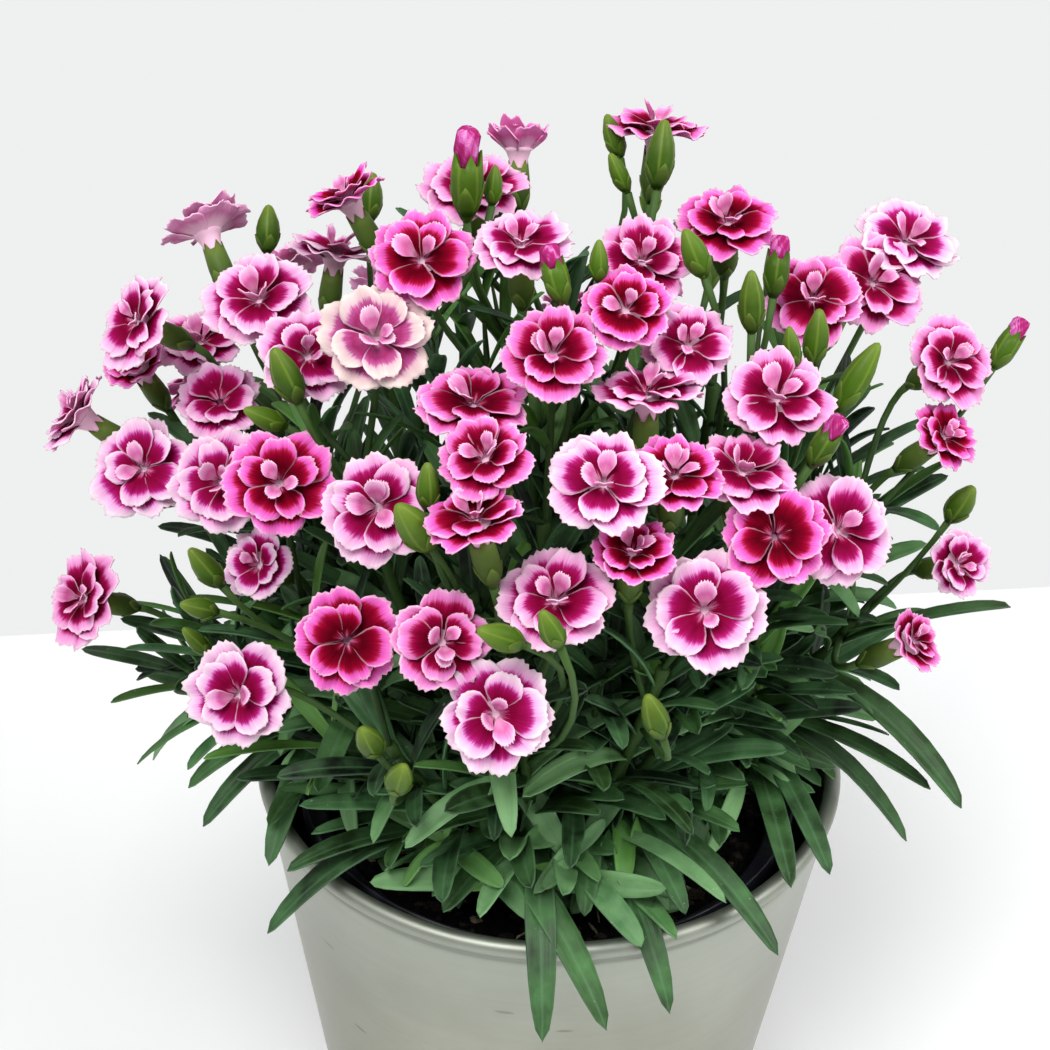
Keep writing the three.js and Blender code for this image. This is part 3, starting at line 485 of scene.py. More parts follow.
# What grows on each stem. A bloom is (x, y, z of the middle of its petals, degrees round from the
# front, degrees up, width across, how far open, age: 0 just out, 9 faded, 12 bleached). A bud is
# (x, y, z of its middle, degrees round, degrees up, length, width, 1 if its petals show).
STEMS = [
    ("left",
     [(-104, 20, 342, -146, 46, 28, 0.8, 8), (-86, -5, 332, -15, 60, 33, 1, 7)],
     [(-86, 18, 344, 177, 64, 14, 7, 0)]),
    ("left",
     [(-121, -2, 323, -51, 36, 29, 1, 7), (-142, 2, 290, -85, 37, 27, 0.8, 8),
      (-100, 0, 297, -13, 62, 28, 1, 7), (-127, 16, 300, -45, 63, 22, 0.7, 1)],
     []),
    ("left",
     [(-122, -9, 279, -16, 42, 32, 1, 9), (-110, 28, 302, -5, 77, 29, 1, 6)],
     []),
    ("left",
     [(-141, -19, 239, -46, 32, 30, 1, 5)],
     []),
    ("left",
     [(-63, 20, 353, -99, 61, 24, 0.8, 0), (-69, 36, 329, 157, 72, 29, 1, 7),
      (-40, 78, 312, 165, 55, 31, 1, 3)],
     [(-60, 60, 338, 170, 70, 15, 7, 0)]),
    ("left",
     [(-88, 64, 310, -150, 50, 30, 1, 6), (-116, 48, 278, -120, 30, 28, 1, 1),
      (-58, 100, 288, 165, 32, 31, 1, 8)],
     [(-104, 60, 300, -140, 50, 15, 7, 0)]),
    ("front",
     [(-69, -35, 330, 20, 45, 27, 1, 7), (-50, -43, 340, 4, 46, 30, 1, 12)],
     [(-73, -48, 331, -88, 70, 17, 8, 0), (-80, -42, 315, -75, 31, 13, 6, 0)]),
    ("front",
     [(-75, -56, 303, 7, 43, 30, 1, 1), (-95, -31, 288, -12, 40, 30, 1, 8),
      (-84, -42, 268, -31, 39, 22, 0.8, 9)],
     [(-97, -53, 274, -83, 58, 15, 7, 0), (-98, -61, 266, -60, 30, 12, 6, 0)]),
    ("front",
     [(-47, -75, 308, -8, 40, 31, 1, 7), (-20, -82, 327, -30, 60, 25, 1, 2),
      (-22, -93, 316, -75, 76, 25, 1, 1)],
     [(-37, -90, 312, -44, 57, 20, 9, 0)]),
    ("front",
     [(-24, -58, 329, -7, 80, 31, 1, 2), (-4, -58, 344, -1, 55, 28, 1, 2),
      (9, -84, 322, -6, 55, 29, 1, 8)],
     []),
    ("front",
     [(-55, -87, 275, 0, 32, 28, 1, 1), (-86, -74, 247, -17, 30, 31, 1, 9)],
     [(-48, -104, 256, -27, 61, 15, 7, 0), (-40, -110, 249, 24, 62, 16, 7, 0)]),
    ("front",
     [(-30, -95, 281, 11, 40, 26, 1, 3), (-2, -93, 293, -2, 62, 30, 1, 7),
      (-16, -104, 266, 3, 32, 30, 1, 9)],
     [(-15, -106, 291, -71, 30, 14, 7, 0), (-3, -112, 298, -68, 66, 13, 6, 0)]),
    ("front",
     [(36, -89, 289, -7, 37, 32, 1, 8), (53, -80, 306, 0, 43, 28, 1, 1),
      (17, -87, 304, -3, 69, 22, 0.8, 1)],
     [(24, -106, 268, -67, 70, 16, 7, 0)]),
    ("front",
     [(-13, -30, 361, -7, 76, 27, 1, 7), (-39, -27, 355, -6, 52, 30, 1, 1),
      (14, -48, 352, -6, 52, 25, 1, 1)],
     [(-4, -45, 360, -128, 69, 16, 7, 1)]),
    ("right",
     [(27, -76, 320, -3, 72, 26, 1, 1), (20, -57, 333, -162, 82, 28, 1, 5),
      (31, -43, 340, 8, 52, 25, 1, 6), (45, -68, 317, 8, 72, 27, 1, 5)],
     [(66, -63, 324, 86, 67, 16, 7, 1)]),
    ("right",
     [(19, -24, 355, -1, 56, 28, 1, 5), (43, -3, 358, -10, 68, 28, 1, 1),
      (54, -52, 330, 4, 62, 30, 1, 5)],
     [(32, -31, 361, -114, 62, 14, 7, 0), (56, -15, 351, 167, 70, 17, 7, 1),
      (47, -38, 351, -150, 81, 17, 7, 0)]),
    ("right",
     [(24, 24, 374, 168, 80, 28, 1, 2), (-27, 16, 358, -6, 74, 32, 1, 5),
      (-15, 53, 358, -176, 67, 24, 0.2, 1)],
     [(-28, -6, 371, 0, 84, 27, 9, 1), (24, 3, 375, 167, 70, 19, 8, 0)]),
    ("right",
     [(68, -7, 338, -9, 49, 28, 1, 2), (88, 14, 334, 21, 48, 32, 1, 4), (99, 28, 341, 29, 67, 33, 1, 9)],
     [(66, -31, 338, 169, 82, 16, 7, 0), (79, -28, 325, 112, 61, 22, 8, 0)]),
    ("right",
     [(110, 1, 316, 29, 44, 28, 1, 4), (109, -11, 298, 50, 50, 22, 1, 1),
      (71, -67, 300, 15, 40, 31, 1, 7)],
     [(129, 10, 318, 126, 52, 17, 7, 1)]),
    ("right",
     [(118, -16, 258, 29, 35, 22, 0.8, 7), (99, -53, 256, 56, 44, 19, 0.7, 2)],
     [(119, -6, 273, 86, 66, 14, 8, 0)]),
    ("right",
     [(6, 86, 288, 178, 52, 31, 1, 3), (50, 80, 322, 165, 50, 31, 1, 7),
      (28, 110, 290, 172, 30, 29, 1, 1)],
     [(28, 90, 330, 178, 60, 16, 7, 0)]),
    ("right",
     [(92, 68, 304, 140, 42, 31, 1, 5)],
     [(72, 92, 300, 150, 42, 16, 7, 0)]),
]
# The smallest buds, on thread-like stalks of their own: the plant, then as the buds above.
SMALL_BUDS = [
    ("left", (-102, -50, 247, -77, 55, 12, 5, 0)),
    ("front", (7, -40, 362, -174, 76, 11, 5, 0)),
    ("front", (-34, -84, 320, -169, 82, 13, 6, 0)),
    ("right", (58, -42, 340, -135, 75, 12, 5, 0)),
    ("right", (13, 4, 369, -111, 61, 12, 5, 0)),
    ("right", (12, 25, 372, -140, 58, 13, 6, 0)),
    ("left", (-21, 0, 366, 167, 70, 11, 5, 0)),
]
# Short shoots without a flower: the plant and where the shoot ends.
SHOOTS = [
    ("front", (22, -48, 190)), ("front", (-30, -56, 184)), ("right", (66, -14, 200)),
    ("left", (-70, -8, 186)), ("left", (-24, 62, 190)), ("right", (52, 54, 190)),
]
FILLER_SHOOTS = 32
BLIND_STEMS = 42
# Thin stems that stand upright behind the middle: the plant and where each ends.
UPRIGHT_STEMS = [
    ("left", (-30, 20, 330)), ("right", (-14, 14, 338)), ("front", (-24, 6, 332)),
    ("right", (-4, 10, 334)), ("right", (-22, 10, 336)), ("left", (-38, 8, 318)), ("front", (-33, -8, 306)),
    ("right", (-6, 24, 312)), ("left", (-44, 22, 312)),
]


def facing(turn, up):
    """A direction, from its degrees round from the front and up from level."""
    flat = math.cos(math.radians(up))
    turn = math.radians(turn)
    return Vector((flat * math.sin(turn), -flat * math.cos(turn), math.sin(math.radians(up))))


def side_of(direction):
    """A level direction across another one."""
    side = UP.cross(direction)
    return Vector((1, 0, 0)) if side.length < 0.02 else side.normalized()


def bend(line, t):
    """A spot on a bent line, which its middle point pulls off the straight way to its end."""
    start, control, end = line
    return start * (1 - t) ** 2 + control * (2 * t * (1 - t)) + end * t ** 2


def bend_along(line, t):
    """The way that a bent line runs at that spot."""
    start, control, end = line
    return ((control - start) * (1 - t) + (end - control) * t).normalized()


def tube(bm, spots, radii, sides=STEM_SIDES, **values):
    """A round stalk through a row of spots, each with its radius, closed at both ends."""
    side = side_of(spots[1] - spots[0])
    placings = []
    for i, (spot, radius) in enumerate(zip(spots, radii)):
        along = (spots[min(i + 1, len(spots) - 1)] - spots[max(i - 1, 0)]).normalized()
        side = (side - along * side.dot(along)).normalized()
        placings.append(axes_at(spot, side * radius, along.cross(side) * radius, along))
    ring = bmesh.ops.create_circle(bm, cap_ends=True, segments=sides, radius=1, matrix=placings[0])["verts"]
    edges = list({e for v in ring for e in v.link_edges})
    verts = list(ring)
    tinted(bm, ring, along=0)
    for i in range(1, len(placings)):
        made = bmesh.ops.extrude_edge_only(bm, edges=edges)["geom"]
        ring = [g for g in made if isinstance(g, bmesh.types.BMVert)]
        edges = [g for g in made if isinstance(g, bmesh.types.BMEdge) and all(v in ring for v in g.verts)]
        bmesh.ops.transform(bm, matrix=placings[i] @ placings[i - 1].inverted(), verts=ring)
        tinted(bm, ring, along=i / (len(placings) - 1))
        verts += ring
    bmesh.ops.contextual_create(bm, geom=edges)
    tinted(bm, verts, **values)
    return verts


def crown_top(plant):
    """The middle of a plant's woody crown, just over the soil."""
    return Vector((*CROWNS[plant], SOIL_TOP + 2))


def head_foot(head, is_bloom):
    """Where a stalk ends: at the foot of a bloom's calyx, or at the foot of a bud."""
    back = PETALS_ABOVE_CALYX + CALYX_LONG if is_bloom else 0.5 * head[5]
    return Vector(head[:3]) - facing(head[3], head[4]) * back


def fork_of(plant, blooms, buds):
    """The fork of a stem lies below the middle of what it carries, on the way back to the crown."""
    feet = [head_foot(b, True) for b in blooms] + [head_foot(b, False) for b in buds]
    middle = sum(feet, Vector((0, 0, 0))) / len(feet)
    return middle + (crown_top(plant) - middle).normalized() * FORK_DROP


def stem_line(plant, end):
    """A stem leans out of the crown and then rises."""
    crown = crown_top(plant)
    lean = Vector((end.x - crown.x, end.y - crown.y, 0)).normalized()
    start = crown + lean * CROWN_SPREAD
    control = start.lerp(end, 0.62)
    control.z = start.z + 0.42 * (end.z - start.z)
    return start, control, end


def stalk_line(start, foot, out):
    """A stalk turns as it grows, until it points the way that its flower faces."""
    return start, foot - out * (0.4 * (foot - start).length), foot


def plant_green(name, low, high, fresh, rough, shine):
    """The skin of a stem, calyx or bud: smooth and slightly waxy, paler where two sepals meet."""
    material, tree = new_material(name)
    place = add(tree, "TexCoord").outputs["Object"]
    reads = [add(tree, "Attribute", attribute_name=read) for read in GREEN_NUMBERS]
    along, across, shade, freshness = reads
    blotch = add(tree, "TexNoise", {"Vector": place, "Scale": 240.0, "Detail": 4.0})
    depth = add(tree, "Math", {0: blotch, 1: shade}, operation="ADD")
    spread = add(tree, "MapRange", {"Value": depth, "From Min": 0.4, "From Max": 1.3})
    body = add(tree, "Mix", {0: spread, 6: low, 7: high}, data_type="RGBA")
    lively = add(tree, "Math", {0: freshness, 1: along}, operation="MULTIPLY")
    tipped = add(tree, "Mix", {0: lively, 6: body, 7: fresh}, data_type="RGBA")
    seam = add(tree, "MapRange", {"Value": across, "From Min": 0.6, "From Max": 1.0,
                                  "To Min": 0.0, "To Max": 0.32})
    seamed = add(tree, "Mix", {0: seam, 6: tipped, 7: fresh}, data_type="RGBA")
    fine = add(tree, "TexNoise", {"Vector": place, "Scale": 1500.0, "Detail": 2.0})
    bump = add(tree, "Bump", {"Height": fine, "Strength": 0.15, "Distance": 0.0003})
    skin = add(tree, "BsdfPrincipled", {
        "Base Color": seamed, "Roughness": rough, "Normal": bump, "Specular IOR Level": shine})
    add(tree, "OutputMaterial", {"Surface": skin})
    return material


# The skin of the stems: grey-green under a thin wax that rubs off, yellower where it is young.
waxy_stem_skin = plant_green("waxy_stem_skin", "#12230D", "#2D4A22", "#4C6B2C", 0.55, 0.2)

# Every stem has its plant, line and kind. Its index seeds the draws for its leaves, so each sort
# counts from a hundred of its own. A head is a bloom or a bud.
stems = []
heads = []


def grow(plant, index, end, kind):
    """Notes one more stem and returns its line."""
    stems.append({"plant": plant, "index": index, "line": stem_line(plant, end), "kind": kind})
    return stems[-1]["line"]


def bear(plant, index, head, is_bloom, start):
    """Notes a bloom or a bud: the way it faces, where its foot is, and the line of its stalk."""
    out = facing(head[3], head[4])
    foot = head_foot(head, is_bloom)
    heads.append({"plant": plant, "index": index, "head": head, "is_bloom": is_bloom, "out": out,
                  "foot": foot, "line": stalk_line(start, foot, out)})


for index, (plant, blooms, buds) in enumerate(STEMS):
    line = grow(plant, index, fork_of(plant, blooms, buds), "flowering")
    for order, head in enumerate(blooms + buds):
        bear(plant, index, head, order < len(blooms), bend(line, 1 - BRANCH_STEP * order))
for i, (plant, end) in enumerate(SHOOTS):
    grow(plant, 100 + i, Vector(end), "shoot")
for plant, bud in SMALL_BUDS:
    foot = head_foot(bud, False)
    own = [bend(s["line"], 0.93) for s in stems if s["plant"] == plant and s["kind"] == "flowering"]
    bear(plant, -1, bud, False, min(own, key=lambda spot: (spot - foot).length))

# Leafy shoots round the edge of each plant, and thin stems among the others that carry no flower.
draw = make_draw(77)
for i in range(FILLER_SHOOTS):
    turn = GOLDEN_ANGLE * i
    reach = 34 + 36 * draw()
    end = Vector((reach * math.cos(turn), reach * math.sin(turn) - 6, 168 + 38 * draw()))
    plant = min(CROWNS, key=lambda name: (crown_top(name) - end).length)
    grow(plant, 200 + i, end, "filler")
bloom_feet = [(h["plant"], h["foot"]) for h in heads if h["is_bloom"]]
for i in range(BLIND_STEMS):
    plant, foot = bloom_feet[int(draw() * len(bloom_feet))]
    near = sorted(bloom_feet, key=lambda item: (item[1] - foot).length)[1 + int(3 * draw())][1]
    end = foot.lerp(near, 0.5 * draw()) - Vector((0, 0, 14 + 46 * draw()))
    end.x *= 0.9
    end.y = end.y * 0.9 + 3
    grow(plant, 300 + i, end, "blind")
for i, (plant, end) in enumerate(UPRIGHT_STEMS):
    grow(plant, 400 + i, Vector(end), "blind")

# How thick each kind of stem is at its foot and its top, and in how many lengths it bends.
STEM_RADII = {"flowering": (STEM_ROOT_RADIUS, 1.5), "shoot": (1.8, 1.2), "filler": (1.5, 0.9),
              "blind": (1.6, 0.9)}
STEM_SEGMENTS = {"flowering": 14, "shoot": 7, "filler": 6, "blind": 11}
for plant in CROWNS:
    whole = blank(GREEN_NUMBERS)
    bm = blank(GREEN_NUMBERS)
    draw = make_draw(len(plant) + 40)
    top = crown_top(plant)
    crown = [(0, -CROWN_DEEP - 2), (0.7 * CROWN_RADIUS, -CROWN_DEEP - 2), (CROWN_RADIUS, -5),
             (0.98 * CROWN_RADIUS, 0), (0.8 * CROWN_RADIUS, 2.2), (0.4 * CROWN_RADIUS, 3.4), (0, 3.6)]
    tinted(bm, spun(bm, crown, 14, centre=top), shade=0.2)
    joined(whole, bm)
    for stem in stems:
        if stem["plant"] != plant:
            continue
        bm = blank(GREEN_NUMBERS)
        segments = STEM_SEGMENTS[stem["kind"]]
        thick, thin = STEM_RADII[stem["kind"]]
        spots = [bend(stem["line"], i / segments) for i in range(segments + 1)]
        spots[0] -= UP * 4
        radii = [thick + (thin - thick) * i / segments for i in range(segments + 1)]
        radii = [r + (JOINT_SWELL if i % 3 == 2 else 0) for i, r in enumerate(radii)]
        if stem["kind"] != "flowering":
            radii[-1] = 0.3
        tube(bm, spots, radii, shade=0.2 + 0.6 * draw(), fresh=0.25)
        joined(whole, bm)
    for item in heads:
        if item["plant"] != plant:
            continue
        bm = blank(GREEN_NUMBERS)
        wide = STALK_RADIUS if item["is_bloom"] else BUD_STALK_RADIUS
        spots = [bend(item["line"], i / STALK_SEGMENTS) for i in range(STALK_SEGMENTS + 1)]
        radii = [0.8 * wide, wide, wide, wide, wide, 1.05 * wide, 1.3 * wide]
        tube(bm, spots, radii, shade=0.3 + 0.5 * draw(), fresh=0.5)
        joined(whole, bm)
    stalks = finished(whole, f"stems_{plant}", waxy_stem_skin)
    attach(stalks, "root")
    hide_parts(f"plant_{plant}")

# ------------------------------------------------------------------ leaves
# Narrow pointed leaves in pairs, each pair set across the one below and joined round the stem.
# They are stiff and slightly fleshy, channelled along the middle, with a blue-grey wax on them.
PAIR_LONG_LOW = 66
PAIR_LONG_HIGH = 40
PAIR_HALF_WIDTH = 3.5
LEAF_THICK = 0.5
LEAF_ACROSS = 4
LEAF_ALONG = 9
CLEAR = 0.5
CHECKED_AT = (0.2, 0.32, 0.44, 0.56, 0.68, 0.8, 0.9, 1)
# Where leaves keep off: low over the soil, the ring of the nursery pot's lip and the bucket's bead,
# the room that a bloom's petals take up behind and in front of their middle, and the radii that are
# kept free round a stalk and round a calyx or bud.
SOIL_CLEAR = 5
LOW_OUTSIDE = 108
RIM_CLEAR = 3
RIM_INSIDE = 74
RIM_OUTSIDE = 103
PETALS_BEHIND = 4
PETALS_AHEAD = 12
STALK_ROOM = 1.1
CALYX_ROOM = 4.1

# Long single leaves: the plant, about where the leaf leaves its stem, its tip, its width and how
# far its back rises above the straight line.
LONG_LEAVES = [
    ("front", (-24, -50, 190), (17, -108, 158), 10, 24),
    ("front", (-10, -60, 182), (-1, -113, 158), 9, 24),
    ("front", (14, -52, 182), (35, -103, 160), 8.5, 24),
    ("front", (16, -52, 184), (10, -90, 184), 7.5, 8),
    ("front", (26, -48, 186), (39, -86, 182), 7.5, 8),
    ("front", (26, -48, 190), (66, -90, 171), 8.5, 16),
    ("right", (60, -20, 186), (70, -76, 184), 8, 10),
    ("right", (62, -16, 190), (82, -70, 184), 8, 10),
    ("front", (22, -48, 190), (55, -66, 196), 7.5, 8),
    ("right", (66, -14, 196), (113, -33, 165), 9, 18),
    ("right", (70, -18, 215), (126, -40, 185), 11, 14),
    ("right", (76, -16, 226), (128, -42, 261), 9, 6),
    ("right", (72, -14, 204), (117, -35, 188), 8, 8),
    ("front", (-30, -54, 186), (-82, -80, 164), 9, 22),
    ("front", (-32, -50, 190), (-76, -75, 184), 8, 10),
    ("left", (-52, -10, 184), (-84, -56, 184), 8, 10),
    ("left", (-64, -8, 186), (-107, -41, 170), 8.5, 16),
    ("left", (-68, -6, 190), (-113, -30, 176), 8.5, 14),
    ("left", (-70, -8, 186), (-84, -60, 172), 8.5, 18),
    ("front", (-50, -40, 220), (-66, -74, 213), 8.5, 8),
    ("right", (30, -34, 204), (60, -50, 240), 12, 6),
    ("right", (38, -30, 190), (77, -47, 204), 8.5, 8),
    ("front", (20, -46, 190), (2, -76, 222), 8, 6),
    ("front", (-4, -64, 184), (-30, -90, 184), 8, 8),
    ("left", (-60, 30, 190), (-112, 40, 174), 9, 16),
    ("left", (-30, 60, 190), (-60, 98, 166), 9, 20),
    ("left", (-20, 60, 190), (-14, 108, 164), 9, 22),
    ("right", (30, 56, 190), (30, 106, 166), 9, 22),
    ("right", (52, 50, 190), (78, 82, 168), 9, 20),
    ("right", (70, 24, 190), (112, 42, 172), 9, 16),
]


def thickened(bm, blade, thickness):
    """Gives a flat blade its thickness, and returns the corners that this adds."""
    bm.normal_update()
    faces = list({f for v in blade for f in v.link_faces})
    shell = bmesh.ops.solidify(bm, geom=faces, thickness=thickness)["geom"]
    return [g for g in shell if isinstance(g, bmesh.types.BMVert)]


def leaf(bm, line, side, half, twist=0.0, **values):
    """One leaf: a grid bent along its line into a shallow channel, then given its thickness."""
    rows = {}
    blade = bmesh.ops.create_grid(bm, x_segments=LEAF_ACROSS, y_segments=LEAF_ALONG, size=0.5)["verts"]
    for vert in blade:
        across = -2 * vert.co.x
        t = 1 - (0.5 - vert.co.y) ** 1.5 if vert.co.y < 0.5 else 1.0
        if t not in rows:
            along = bend_along(line, t)
            turn = Matrix.Rotation(twist * t, 3, along)
            out = turn @ (side - along * side.dot(along)).normalized()
            broad = (0.36 + 0.64 * math.sin(min(t / 0.58, 1) * math.pi / 2)) * half
            broad *= math.sqrt(max(0.0, 1 - max(0.0, (t - 0.5) / 0.5) ** 3))
            rows[t] = bend(line, t), out, along.cross(out), max(broad, 0.05)
        at, out, over, broad = rows[t]
        lifted = 0.34 * broad * abs(across) ** 1.5 - 0.5 * LEAF_THICK
        vert.co = at + out * (across * broad) + over * lifted
        tinted(bm, [vert], across=across, along=t)
    tinted(bm, blade + thickened(bm, blade, -LEAF_THICK), **values)


def pair_line(joint, stem_along, out, long, droop, upright=0.0):
    """The middle line of one leaf of a pair: out from the stem, up beside it, then over."""
    near = out * (0.42 - 0.3 * upright) + stem_along * (0.36 + 0.1 * upright)
    far = out * (0.86 - 0.5 * upright) + stem_along * (0.34 + 0.6 * upright) - UP * droop
    return joint, joint + near * long, joint + far * long


def blocked_by_pot(p):
    """True where a spot would touch the soil, the nursery pot or the bucket's rim."""
    radial = math.hypot(p.x, p.y)
    if p.z < SOIL_TOP + SOIL_CLEAR:
        return radial < LOW_OUTSIDE
    return p.z < BUCKET_TALL + RIM_CLEAR and RIM_INSIDE < radial < RIM_OUTSIDE


def in_bloom(p, gap):
    """True where a spot would touch the petals of a bloom."""
    for middle, out, radius in discs:
        away = p - middle
        height = away.dot(out)
        if -PETALS_BEHIND < height < PETALS_AHEAD and (away - out * height).length < radius + gap:
            return True
    return False


def too_near(samples, half, index):
    """True where a leaf would touch a rod of another stem: a row of two ends, a radius and an index."""
    table = np.array([rod for rod in rods if rod[7] != index])
    start, along, radius = table[:, 0:3], table[:, 3:6] - table[:, 0:3], table[:, 6]
    for p in samples:
        away = np.array(p) - start
        t = np.clip((away * along).sum(1) / (along * along).sum(1), 0, 1)
        if (np.linalg.norm(away - along * t[:, None], axis=1) < radius + half + CLEAR).any():
            return True
    return False


discs = [(Vector(h["head"][:3]), h["out"], h["head"][5] / 2) for h in heads if h["is_bloom"]]
rods = []
for item in heads:
    if item["index"] < 0:
        continue
    spots = [bend(item["line"], t) for t in (0, 0.5, 1)]
    rods += [(*a, *b, STALK_ROOM, item["index"]) for a, b in zip(spots, spots[1:])]
    top = item["foot"] + item["out"] * (CALYX_LONG if item["is_bloom"] else item["head"][5])
    rods.append((*item["foot"], *top, CALYX_ROOM, item["index"]))
rooted = [stem for stem in stems if stem["kind"] in ("flowering", "shoot")]
for stem in rooted:
    spots = [bend(stem["line"], i / 8) for i in range(9)]
    rods += [(*a, *b, STEM_ROOT_RADIUS, stem["index"]) for a, b in zip(spots, spots[1:])]

# The leaf's green is dark and bluish with a paler middle line, and yellow-green at its foot. Wax
# and a little dust lie on it in patches, so its gloss is uneven.
glaucous_leaf, tree = new_material("glaucous_leaf")
place = add(tree, "TexCoord").outputs["Object"]
reads = [add(tree, "Attribute", attribute_name=read) for read in GREEN_NUMBERS]
along, across, shade, freshness = reads
cloud = add(tree, "TexNoise", {"Vector": place, "Scale": 110.0, "Detail": 4.0})
# The shade number darkens a leaf: at random, and on the flowering and blind stems also as painted canopy
# shade and painted light.
depth = add(tree, "Math", {0: cloud, 1: shade}, operation="ADD")
spread = add(tree, "MapRange", {"Value": depth, "From Min": 0.45, "From Max": 1.35})
green = add(tree, "ValToRGB", {"Fac": spread},
            stops=[(0.0, "#081509"), (1.0, "#719C68"), (0.5, "#426C3F")])
young = add(tree, "Mix", {0: freshness, 6: green, 7: "#5F9434"}, data_type="RGBA")
foot_tone = add(tree, "MapRange", {"Value": along, "From Min": 0.0, "From Max": 0.22,
                                   "To Min": 0.6, "To Max": 0.0})
footed = add(tree, "Mix", {0: foot_tone, 6: young, 7: "#587C38"}, data_type="RGBA")
off_middle = add(tree, "Math", {0: across}, operation="ABSOLUTE")
midrib = add(tree, "MapRange", {"Value": off_middle, "From Min": 0.0, "From Max": 0.2,
                                "To Min": 0.3, "To Max": 0.0})
ribbed = add(tree, "Mix", {0: midrib, 6: footed, 7: "#5F8762"}, data_type="RGBA")
edge_line = add(tree, "MapRange", {"Value": off_middle, "From Min": 0.86, "From Max": 1.0,
                                   "To Min": 0.0, "To Max": 0.15})
edged = add(tree, "Mix", {0: edge_line, 6: ribbed, 7: "#6A9170"}, data_type="RGBA")
vein_at = add(tree, "CombineXYZ", {"X": across, "Y": along, "Z": shade})
vein_scale = add(tree, "Mapping", {"Vector": vein_at, "Scale": (7, 1.2, 9)})
veins = add(tree, "TexNoise", {"Vector": vein_scale, "Scale": 1.0, "Detail": 3.0})
speck = add(tree, "TexNoise", {"Vector": place, "Scale": 700.0, "Detail": 2.0})
specked = add(tree, "MapRange", {"Value": speck, "From Min": 0.72, "From Max": 0.8,
                                 "To Min": 0.0, "To Max": 0.5})
dusty = add(tree, "Mix", {0: specked, 6: edged, 7: "#A9BDA6"}, data_type="RGBA")
waxy = add(tree, "MapRange", {"Value": cloud, "From Min": 0.35, "From Max": 0.65,
                              "To Min": 0.4, "To Max": 0.62})
bump = add(tree, "Bump", {"Height": veins, "Strength": 0.3, "Distance": 0.0006})
skin = add(tree, "BsdfPrincipled", {
    "Base Color": dusty, "Roughness": waxy, "Normal": bump, "Specular IOR Level": 0.28})
add(tree, "OutputMaterial", {"Surface": skin})

leafage = {plant: blank(GREEN_NUMBERS) for plant in CROWNS}
draw = make_draw(900)
for plant, start, end, width, arch in LONG_LEAVES:
    near = Vector(start)
    spots = [bend(s["line"], i / 20) for s in rooted if s["plant"] == plant for i in range(1, 21)]
    root = min(spots, key=lambda spot: (spot - near).length)
    tip = Vector(end)
    line = (root, root.lerp(tip, 0.5) + UP * arch, tip)
    samples = [bend(line, t) for t in (0, 0.25, 0.5, 0.75, 1)]
    rods += [(*a, *b, width / 2, -1) for a, b in zip(samples, samples[1:])]
    leaf(leafage[plant], line, side_of(tip - root), width / 2,
         shade=0.07 + 0.28 * draw(), fresh=0.12 * draw())

# The pairs at the stems' main joints turn, and then get shorter, until they are clear.
for stem in rooted:
    bm = blank(GREEN_NUMBERS)
    own = make_draw(stem["index"] + 31)
    first = 180 * own()
    for k in range(2):
        t = 0.36 + 0.3 * k if stem["kind"] == "flowering" else 0.55 + 0.42 * k
        joint = bend(stem["line"], t)
        along = bend_along(stem["line"], t)
        long = (PAIR_LONG_LOW + t * (PAIR_LONG_HIGH - PAIR_LONG_LOW)) * (0.9 + 0.2 * own())
        droop = 0.05 + 0.3 * own()
        across_stem = side_of(along)
        for shorter, swing in product((1, 0.8, 0.62), (0, 20, -20, 40, -40, 60, -60, 90)):
            angle = math.radians(first + 90 * k + swing)
            out = across_stem * math.cos(angle) + along.cross(across_stem) * math.sin(angle)
            half = PAIR_HALF_WIDTH * (0.5 + 0.5 * shorter)
            lines = [pair_line(joint, along, way, long * shorter, droop) for way in (out, -out)]
            samples = [bend(line, s) for line in lines for s in CHECKED_AT]
            if any(blocked_by_pot(p) or in_bloom(p, half + 1) for p in samples):
                continue
            if too_near(samples, half, stem["index"]):
                continue
            for line in lines:
                spots = [line[0], bend(line, 0.5), line[2]]
                rods += [(*a, *b, half, stem["index"]) for a, b in zip(spots, spots[1:])]
            side = along.cross(out).normalized()
            shade = 0.32 + 0.6 * draw()
            for line, way in zip(lines, (side, -side)):
                leaf(bm, line, way, half, shade=shade, fresh=0.1 * draw())
            break
    joined(leafage[stem["plant"]], bm)

